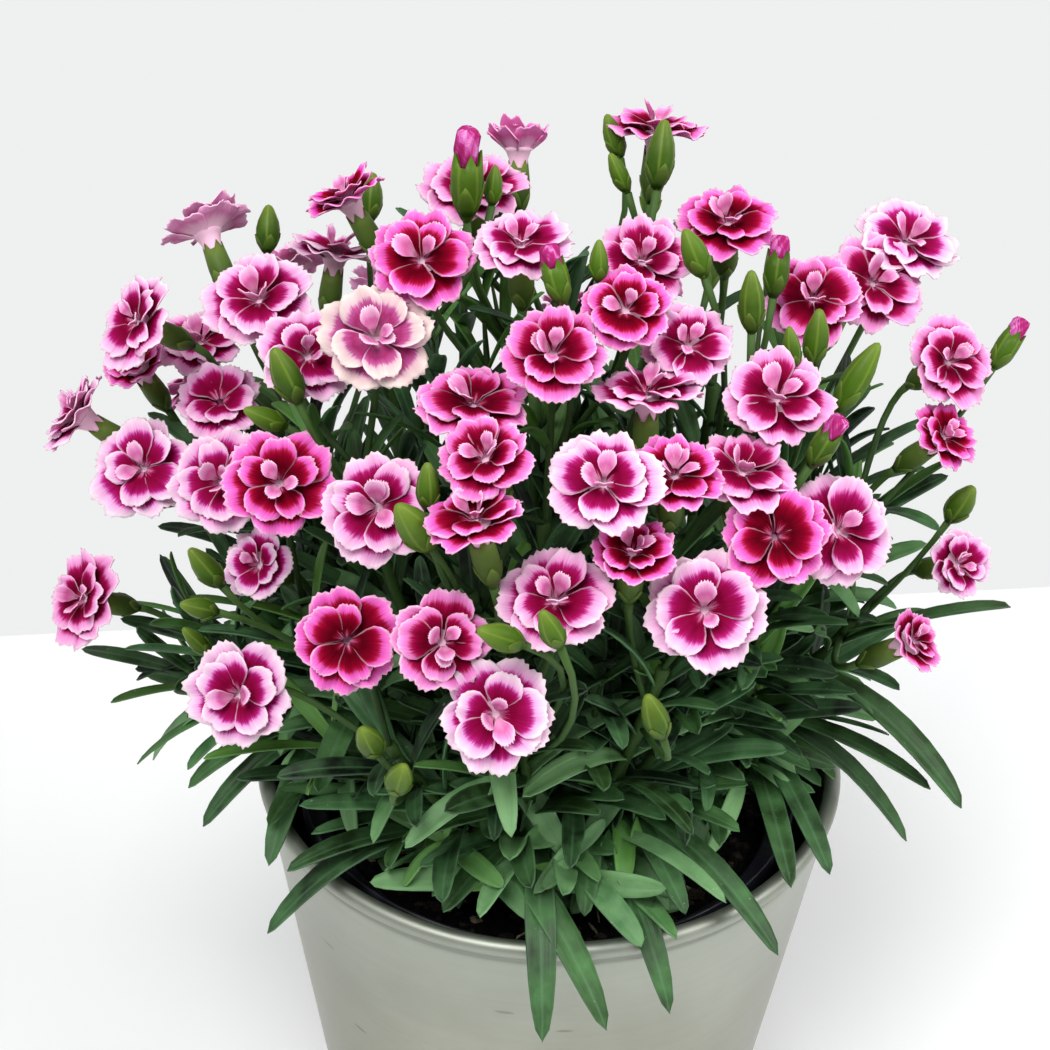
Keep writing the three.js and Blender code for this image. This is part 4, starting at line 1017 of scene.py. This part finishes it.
# The rest of the pairs are smaller and grow closer. They may brush one another, but they keep off
# the petals and the pot.
PAIRS_AT = {
    "flowering": (0.1, 0.18, 0.27, 0.45, 0.55, 0.75, 0.84, 0.93),
    "shoot": (0.32, 0.46, 0.7, 0.86, 0.99),
    "filler": (0.38, 0.56, 0.74, 0.9, 0.99),
    "blind": (0.15, 0.28, 0.4, 0.52, 0.64, 0.76, 0.88, 0.98),
}
for stem in stems:
    bm = blank(GREEN_NUMBERS)
    own = make_draw(stem["index"] + 1031)
    first = 180 * own()
    low = stem["kind"] in ("shoot", "filler")
    for k, t in enumerate(PAIRS_AT[stem["kind"]]):
        joint = bend(stem["line"], t)
        along = bend_along(stem["line"], t)
        across_stem = side_of(along)
        angle = math.radians(first + 90 * k + 30 * (own() - 0.5))
        out = across_stem * math.cos(angle) + along.cross(across_stem) * math.sin(angle)
        long = (62 - 24 * t if low else 70 - 34 * t) * (0.75 + 0.4 * own())
        half = (4.3 - 0.9 * t if low else 4.1 - 1.4 * t) * (0.8 + 0.36 * own())
        droop = (0.3 - 0.35 * t if low else 0.05 - 0.1 * t) + 0.2 * own()
        upright = 0.0 if low else 0.3 + 0.6 * own()
        if low and t > 0.95:
            long *= 0.55
            half *= 0.75
        fresh = max(0.0, own() - 0.45) * (1.5 if t > 0.85 else 0.35)
        # Painted shade and light: leaves up on the flowering and blind stems are made dark, as if shaded by
        # the canopy, and those low on these stems are lightened, as if lit.
        painted_low_light = 0.4 if t < 0.3 else 0.0
        for way in (out, -out):
            for shorter in (1, 0.75, 0.55):
                line = pair_line(joint, along, way, long * shorter * (0.9 + 0.2 * own()), droop, upright)
                samples = [bend(line, s) for s in (0.3, 0.5, 0.7, 0.85, 1)]
                if any(blocked_by_pot(p) or in_bloom(p, half) for p in samples):
                    continue
                side = along.cross(way).normalized()
                leaf(bm, line, side, half, twist=0.9 * (own() - 0.5),
                     shade=0.38 + 0.56 * own() if low else 0.42 * own() ** 1.7 + painted_low_light, fresh=fresh)
                break
    joined(leafage[stem["plant"]], bm)
for plant, bm in leafage.items():
    foliage = finished(bm, f"leaves_{plant}", glaucous_leaf)
    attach(foliage, "root")
    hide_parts(f"plant_{plant}")

# ------------------------------------------------------------------ calyxes
# A flower sits in a smooth green tube of fused sepals that ends in five points. Two pairs of
# short scales clasp its foot, and out of its mouth come the pale narrow claws of the petals.
CALYX_GREEN = 14.2
CALYX_TOOTH = 2.4
CALYX_RADII = [(0, 1.2), (1.2, 1.7), (3.2, 2.6), (6.4, 3.45), (9, 3.5), (12, 3.3), (CALYX_GREEN, 3.1)]
CALYX_FACETS = 15
FACETS_PER_SEPAL = 3
SCALE_LONG = 6.6
SCALE_HALF_ANGLE = 0.85
SCALE_THICK = 0.3

# Sepal skin: a livelier green than the leaves, matt, paler towards the points.
sepal_green = plant_green("sepal_green", "#162808", "#344F17", "#70853B", 0.5, 0.15)


def radius_at(radii, z):
    """How wide a calyx or bud is at a height, from its list of heights and radii."""
    return float(np.interp(z, [r[0] for r in radii], [r[1] for r in radii]))


def standing(spot, out):
    """The placing of something that grows from a spot in a direction."""
    side = side_of(out)
    return axes_at(spot, side, out.cross(side), out)


def facet_of(vert):
    """Where on its sepal a corner stands: 0 in the middle, where the point is, and 1 or 2 beside it."""
    return round(math.atan2(vert.co.y, vert.co.x) / math.tau * CALYX_FACETS) % FACETS_PER_SEPAL


def clasping_scale(bm, placing, turn, start, long, radii, **values):
    """A short pointed scale that lies against the foot of a calyx or bud."""
    blade = bmesh.ops.create_grid(bm, x_segments=4, y_segments=4, size=0.5)["verts"]
    for vert in blade:
        across = 2 * vert.co.x
        t = vert.co.y + 0.5
        angle = turn + SCALE_HALF_ANGLE * across * (1 - 0.93 * t ** 1.7)
        z = start + t * long
        radius = radius_at(radii, z) + 0.14 + 0.2 * t * t
        vert.co = (radius * math.cos(angle), radius * math.sin(angle), z)
        tinted(bm, [vert], along=t)
    bmesh.ops.transform(bm, matrix=placing, verts=blade)
    tinted(bm, blade + thickened(bm, blade, SCALE_THICK), **values)


for plant in CROWNS:
    whole = blank(GREEN_NUMBERS)
    draw = make_draw(len(plant) + 60)
    for item in heads:
        if item["plant"] != plant or not item["is_bloom"]:
            continue
        bm = blank(GREEN_NUMBERS)
        placing = standing(item["foot"], item["out"])
        profile = [(0, -0.5)] + [(r, z) for z, r in CALYX_RADII]
        profile += [(2.7, CALYX_GREEN - 0.2), (2.3, CALYX_GREEN - 4), (0, CALYX_GREEN - 4.2)]
        shade = 0.25 + 0.6 * draw()
        turn = draw() * math.tau
        verts = spun(bm, profile, CALYX_FACETS)
        for vert in verts:
            tinted(bm, [vert], along=max(0.0, vert.co.z / CALYX_GREEN) ** 2)
            if vert.co.z > CALYX_GREEN - 0.5 and facet_of(vert) == 0:
                vert.co.z += CALYX_TOOTH
                tinted(bm, [vert], along=1.6)
        tinted(bm, verts, shade=shade, fresh=0.55)
        bmesh.ops.transform(bm, matrix=placing @ Matrix.Rotation(turn, 4, "Z"), verts=verts)
        for k in range(4):
            clasping_scale(bm, placing, turn + k * math.pi / 2 + 0.4, 0.2 + 1.2 * (k // 2), SCALE_LONG,
                           CALYX_RADII, shade=shade - 0.1 + 0.15 * (k % 2), fresh=0.6)
        joined(whole, bm)
    calyxes = finished(whole, f"calyxes_{plant}", sepal_green)
    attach(calyxes, "root")
    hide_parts(f"plant_{plant}")

# ------------------------------------------------------------------ buds
# Plump pointed buds, closed but for a few where the rolled petals push out. Five sepals meet at
# the tip, and overlapping scales cover the lower half.
BUD_SHAPE = [(0, 0.3), (0.07, 0.5), (0.2, 0.82), (0.36, 0.98), (0.5, 1), (0.66, 0.88), (0.8, 0.64),
             (0.9, 0.46), (0.97, 0.27)]
OPENING_AT = 0.64
SEPAL_POINT = 0.14

# Bud skin: fresh apple green, smooth and slightly glossy, with a yellowish tip.
bud_green = plant_green("bud_green", "#1E3A06", "#3F600F", "#869A40", 0.42, 0.14)

rolled_tips = []
for plant in CROWNS:
    whole = blank(GREEN_NUMBERS)
    draw = make_draw(len(plant) + 80)
    for item in heads:
        if item["plant"] != plant or item["is_bloom"]:
            continue
        bm = blank(GREEN_NUMBERS)
        long, width, opening = item["head"][5:]
        wide = width / 2
        placing = standing(item["foot"], item["out"])
        shade = 0.2 + 0.7 * draw()
        radii = [(share * long, r * wide) for share, r in BUD_SHAPE]
        if opening:
            radii = [(z, r) for z, r in radii if z < OPENING_AT * long]
            radii.append((OPENING_AT * long, 0.92 * wide))
            rolled_tips.append((placing, long, wide))
            profile = [(0, -0.3)] + [(r, z) for z, r in radii]
            profile += [(0.8 * wide, OPENING_AT * long - 0.2), (0, OPENING_AT * long - 2)]
        else:
            profile = [(0, -0.3)] + [(r, z) for z, r in radii] + [(0, long)]
        verts = spun(bm, profile, CALYX_FACETS)
        for vert in verts:
            angle = math.atan2(vert.co.y, vert.co.x)
            facet = facet_of(vert)
            share = max(0.0, vert.co.z / long)
            tinted(bm, [vert], along=share ** 3, across=1.0 if facet == 1 else 0.0)
            groove = 1 - 0.07 * share * (0.5 - 0.5 * math.cos(5 * angle + 3 * share))
            vert.co.x *= groove
            vert.co.y *= groove
            if opening and vert.co.z > (OPENING_AT - 0.04) * long and facet == 0:
                vert.co.z += SEPAL_POINT * long
        tinted(bm, verts, shade=shade, fresh=0.5)
        bmesh.ops.transform(bm, matrix=placing, verts=verts)
        for k in range(4):
            clasping_scale(bm, placing, k * math.pi / 2 + 2 * shade, 0.02 * long + 0.06 * long * (k // 2),
                           0.36 * long, radii, shade=shade - 0.3, fresh=0.3)
        joined(whole, bm)
    buds = finished(whole, f"buds_{plant}", bud_green)
    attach(buds, "root")
    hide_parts(f"plant_{plant}")

# ------------------------------------------------------------------ petals
# A semi-double flower: five broad petals with a finely toothed margin, five smaller ones on top of
# them, and in most flowers a few pale curled ones in the middle. All rise from one narrow throat.
PETALS = 5
COLLAR = 3.9
OUTER_LEVEL = 0.1
OUTER_LIFT = 8
OUTER_CLOSING = 50
INNER_REACH = 0.82
INNER_COLLAR = 2.4
INNER_LEVEL = 1.8
INNER_LIFT = 15
INNER_CLOSING = 48
PETAL_THICK = 0.3
PETAL_ACROSS = 16
PETAL_ROWS = (0, 0.2, 0.45, 0.7, 0.93, 1)
PETAL_THROAT = 1.0
RUFFLE = 0.07
FADED_AGE = 9
PETAL_NUMBERS = ("along", "across", "shade", "fade", "plain", "under")
# Blooms without curled petals, so that their deep throat is in view.
OPEN_THROATS = (5, 27, 33)
# Blooms that share one node with the first of them, because their petals touch.
SHARED_NODES = {31: 29, 36: 17, 37: 25, 40: 39, 41: 33, 50: 49}

# Petal tissue: thin, soft and matt, a little light passes through it, which is painted as a lighter
# underside. A crimson patch feathers out along fine veins into pink, and the margin is almost white. The
# patch and the pink fade with age, until the oldest flower is cream and mauve. The underside is pink, and
# later mauve, lightened by that painted light.
petal_tissue, tree = new_material("petal_tissue")
reads = [add(tree, "Attribute", attribute_name=read) for read in PETAL_NUMBERS]
along, across, shade, fade, plain, under = reads
petal_at = add(tree, "CombineXYZ", {"X": across, "Y": along, "Z": shade})
streak_at = add(tree, "Mapping", {"Vector": petal_at, "Scale": (15, 1.1, 40)})
streaks = add(tree, "TexNoise", {"Vector": streak_at, "Scale": 1.0, "Detail": 4.0, "Roughness": 0.65})
patch_at = add(tree, "Mapping", {"Vector": petal_at, "Scale": (1.6, 1.5, 23)})
patches = add(tree, "TexNoise", {"Vector": patch_at, "Scale": 1.0, "Detail": 2.0})
squared = add(tree, "Math", {0: across, 1: across}, operation="MULTIPLY")
sided = add(tree, "Math", {0: squared, 1: 0.1, 2: along}, operation="MULTIPLY_ADD")
streaked = add(tree, "Math", {0: streaks, 1: -0.31, 2: sided}, operation="MULTIPLY_ADD")
blotched = add(tree, "Math", {0: patches, 1: -0.2, 2: streaked}, operation="MULTIPLY_ADD")
spread = add(tree, "Math", {0: blotched, 1: 0.265}, operation="ADD")
fresh_tone = add(tree, "ValToRGB", {"Fac": spread}, stops=[
    (0.0, "#E6A0C0"), (1.0, "#EBA2CC"), (0.04, "#C04478"), (0.08, "#700414"), (0.18, "#440006"),
    (0.42, "#6C0010"), (0.6, "#960220"), (0.65, "#B40C54"), (0.69, "#CE309A"), (0.79, "#DA4CB2"),
    (0.92, "#E26CC0")])
faded_tone = add(tree, "ValToRGB", {"Fac": spread}, stops=[
    (0.0, "#F0C6DA"), (1.0, "#E9D8E0"), (0.05, "#D674A8"), (0.1, "#8A0A40"), (0.2, "#76042E"),
    (0.44, "#8E0C48"), (0.55, "#A41C6C"), (0.61, "#C860AC"), (0.67, "#DF9ECE"), (0.84, "#E6BEDA")])
bleached_tone = add(tree, "ValToRGB", {"Fac": spread}, stops=[
    (0.0, "#DED0C8"), (1.0, "#DCCFC4"), (0.1, "#A84A80"), (0.35, "#962C60"), (0.55, "#AC4E88"),
    (0.66, "#D2AEB8")])
faded = add(tree, "Mix", {0: fade, 6: fresh_tone, 7: faded_tone}, data_type="RGBA")
bleach = add(tree, "MapRange", {"Value": fade, "From Min": 1.0, "From Max": 1.3})
aged = add(tree, "Mix", {0: bleach, 6: faded, 7: bleached_tone}, data_type="RGBA")
curled_tone = add(tree, "ValToRGB", {"Fac": spread}, stops=[
    (0.0, "#E3A3C4"), (1.0, "#F3C3DF"), (0.5, "#CF6BA5"), (0.75, "#DF8FC2")])
curled = add(tree, "Mix", {0: plain, 6: aged, 7: curled_tone}, data_type="RGBA")
off_middle = add(tree, "Math", {0: across}, operation="ABSOLUTE")
at_side = add(tree, "MapRange", {"Value": off_middle, "From Min": 0.92, "From Max": 0.99})
at_margin = add(tree, "MapRange", {"Value": along, "From Min": 0.95, "From Max": 1.0})
at_edge = add(tree, "Math", {0: at_side, 1: at_margin}, operation="MAXIMUM")
edge_share = add(tree, "MapRange", {"Value": fade, "To Min": 0.3, "To Max": 0.6})
edge_part = add(tree, "Math", {0: at_edge, 1: edge_share}, operation="MULTIPLY")
edged = add(tree, "Mix", {0: edge_part, 6: curled, 7: "#F8CFE6"}, data_type="RGBA")
# The underside's own pink and mauve, lightened with painted light: light coming through the thin petal, and
# light on the side turned away from the lamps.
fresh_back = add(tree, "ValToRGB", {"Fac": streaked},
                 stops=[(0.0, "#F4B4DC"), (1.0, "#E889C6"), (0.35, "#E060AC")])
faded_back = add(tree, "ValToRGB", {"Fac": streaked},
                 stops=[(0.0, "#F0C8DE"), (1.0, "#DE9AC4"), (0.35, "#CF86B2")])
underside_and_glow = add(tree, "Mix", {0: fade, 6: fresh_back, 7: faded_back}, data_type="RGBA")
back_part = add(tree, "Math", {0: under, 1: 0.82}, operation="MULTIPLY")
both_sides = add(tree, "Mix", {0: back_part, 6: edged, 7: underside_and_glow}, data_type="RGBA")
vein_at = add(tree, "Mapping", {"Vector": petal_at, "Scale": (26, 0.8, 40)})
veins = add(tree, "TexNoise", {"Vector": vein_at, "Scale": 1.0, "Detail": 2.0})
bump = add(tree, "Bump", {"Height": veins, "Strength": 0.35, "Distance": 0.0005})
skin = add(tree, "BsdfPrincipled", {
    "Base Color": both_sides, "Roughness": 0.75, "Normal": bump, "Specular IOR Level": 0.02})
add(tree, "OutputMaterial", {"Surface": skin})


def petal(bm, draw, turn, reach, wide, collar, level, lift, sway, cup, teeth, notch, late, **values):
    """One petal, a fan from the throat to its toothed margin, in the frame of its bloom.

    A notch cuts into the middle of the margin, and a negative one draws it out to a blunt point. A
    larger "late" moves the dark patch outwards.
    """
    outward = Vector((math.cos(turn), math.sin(turn), 0))
    sideways = outward.cross(UP)
    bite = [0.4 + draw() for _ in range(PETAL_ACROSS + 1)]
    lean = 0.05 + 0.04 * draw()
    phase = 0.6 * (draw() - 0.5)
    lift = math.radians(lift)
    rows = len(PETAL_ROWS) - 1
    blade = bmesh.ops.create_grid(bm, x_segments=PETAL_ACROSS, y_segments=rows, size=0.5)["verts"]
    for vert in blade:
        s = 2 * vert.co.x
        t = PETAL_ROWS[round((vert.co.y + 0.5) * rows)]
        margin = 1 - notch * math.exp(-(s / 0.25) ** 2) - 0.3 * abs(s) ** 3.1
        if t == 1:
            column = round((s + 1) / 2 * PETAL_ACROSS)
            margin += teeth * bite[column] * (1 if column % 2 else -0.7)
        r = PETAL_THROAT + (reach * margin - PETAL_THROAT) * t
        half = wide * reach * (0.12 + 0.88 * math.sin(min(t / 0.82, 1.16) * math.pi / 2) ** 1.25)
        if r < collar:
            radial = r
            height = level - 1.1 * (collar - r)
        else:
            radial = collar + (r - collar) * math.cos(lift)
            height = level + (r - collar) * math.sin(lift)
        height -= sway * RUFFLE * reach * math.cos(math.pi * s / 0.55 + phase) * t ** 1.6
        height += cup * s * s * half + lean * s * t * reach - 0.5 * reach * max(0.0, t - 0.72) ** 2
        vert.co = sideways * (s * half) + outward * radial + UP * height
        tinted(bm, [vert], across=s, along=t ** late)
    backs = thickened(bm, blade, PETAL_THICK)
    tinted(bm, blade + backs, **values)
    tinted(bm, backs, under=1.0)
    return blade + backs


def bloom(bm, number, item):
    """All the petals of one bloom, and the funnel of their claws under them."""
    across, how_open, age = item["head"][5:]
    fade = age / FADED_AGE
    draw = make_draw(number)
    extra = make_draw(number + 3000)
    closing = 1 - how_open
    turn = math.tau * draw()
    verts = []
    for k in range(PETALS):
        grown = across / 2 * (0.95 + 0.1 * draw())
        sway = -1 if draw() < 0.5 else 1
        grown *= 0.96 + 0.08 * extra()
        lift = OUTER_LIFT + OUTER_CLOSING * closing + 9 * (extra() - 0.5)
        at = turn + (k + 0.2 * (extra() - 0.5)) * math.tau / PETALS
        verts += petal(bm, extra, at, grown, wide=0.5, collar=COLLAR, level=OUTER_LEVEL, lift=lift, sway=sway,
                       cup=0.1, teeth=0.03, notch=0.06, late=1.7, shade=extra(), fade=fade, plain=0)
    for k in range(PETALS):
        grown = INNER_REACH * across / 2 * (0.92 + 0.16 * draw())
        sway = -1 if draw() < 0.5 else 1
        grown *= 0.9 + 0.24 * extra()
        lift = INNER_LIFT + INNER_CLOSING * closing + 16 * (extra() - 0.5)
        wide = 0.36 + 0.12 * extra()
        at = turn + (k + 0.5 + 0.5 * (extra() - 0.5)) * math.tau / PETALS
        verts += petal(bm, extra, at, grown, wide=wide, collar=INNER_COLLAR, level=INNER_LEVEL, lift=lift,
                       sway=0.8 * sway, cup=0.1, teeth=0.022, notch=0.04, late=1.45,
                       shade=extra(), fade=fade, plain=0)
    curled = 0 if number in OPEN_THROATS else 2 + int(3.2 * extra())
    for k in range(curled):
        at = turn + 2.2 * k + extra()
        verts += petal(bm, extra, at, across / 2 * (0.4 + 0.2 * extra()), wide=0.32, collar=1.4, level=2.6,
                       lift=32 + 42 * extra(), sway=0.6, cup=0.55, teeth=0.05, notch=-0.04, late=1,
                       shade=extra(), fade=fade, plain=0.6 + 0.4 * extra())
    mouth = -PETALS_ABOVE_CALYX - CALYX_LONG + CALYX_GREEN
    deep = -3.5 if number in OPEN_THROATS else -1.2
    funnel = [(0, mouth - 4.5), (2.2, mouth - 4), (2.5, mouth), (2.9, mouth + 2.6), (3.7, mouth + 4.8),
              (4.5, -0.75), (4.1, -0.35), (2.0, deep + 0.6), (0, deep)]
    claws = spun(bm, funnel, CALYX_FACETS)
    tinted(bm, claws, shade=extra(), fade=1, plain=0, under=1)
    for vert in claws:
        tinted(bm, [vert], along=0.02 + 0.1 * max(0.0, (vert.co.z - mouth) / 6))
    verts += claws
    bmesh.ops.transform(bm, matrix=standing(Vector(item["head"][:3]), item["out"]), verts=verts)


nodes = {}
for number, item in enumerate([h for h in heads if h["is_bloom"]], start=1):
    nodes.setdefault(SHARED_NODES.get(number, number), []).append((number, item))
for first, members in nodes.items():
    bm = blank(PETAL_NUMBERS)
    for number, item in members:
        bloom(bm, number, item)
    petals = finished(bm, f"petals_{first:02d}", petal_tissue)
    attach(petals, "root")
    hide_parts(f"bloom_{first:02d}")

# The rolled petals that show at the tips of the opening buds.
bm = blank(PETAL_NUMBERS)
draw = make_draw(640)
for placing, long, wide in rolled_tips:
    cone = [(0, OPENING_AT * long - 2), (0.68 * wide, OPENING_AT * long - 1.8), (0.76 * wide, 0.78 * long),
            (0.74 * wide, 0.92 * long), (0.6 * wide, 0.985 * long), (0.25 * wide, long), (0, 0.97 * long)]
    verts = spun(bm, cone, CALYX_FACETS)
    for vert in verts:
        angle = math.atan2(vert.co.y, vert.co.x) + 0.25 * vert.co.z
        furl = 1 + 0.12 * math.cos(3 * angle)
        vert.co.x *= furl
        vert.co.y *= furl
        tinted(bm, [vert], across=0.94 * math.sin(angle), along=0.455 + 0.1 * math.sin(4 * angle) ** 2)
    tinted(bm, verts, shade=draw(), fade=0.9, plain=0, under=0.05)
    bmesh.ops.transform(bm, matrix=placing, verts=verts)
rolled = finished(bm, "rolled_petal_tips", petal_tissue)
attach(rolled, "root")

bpy.data.meshes.remove(carrier)
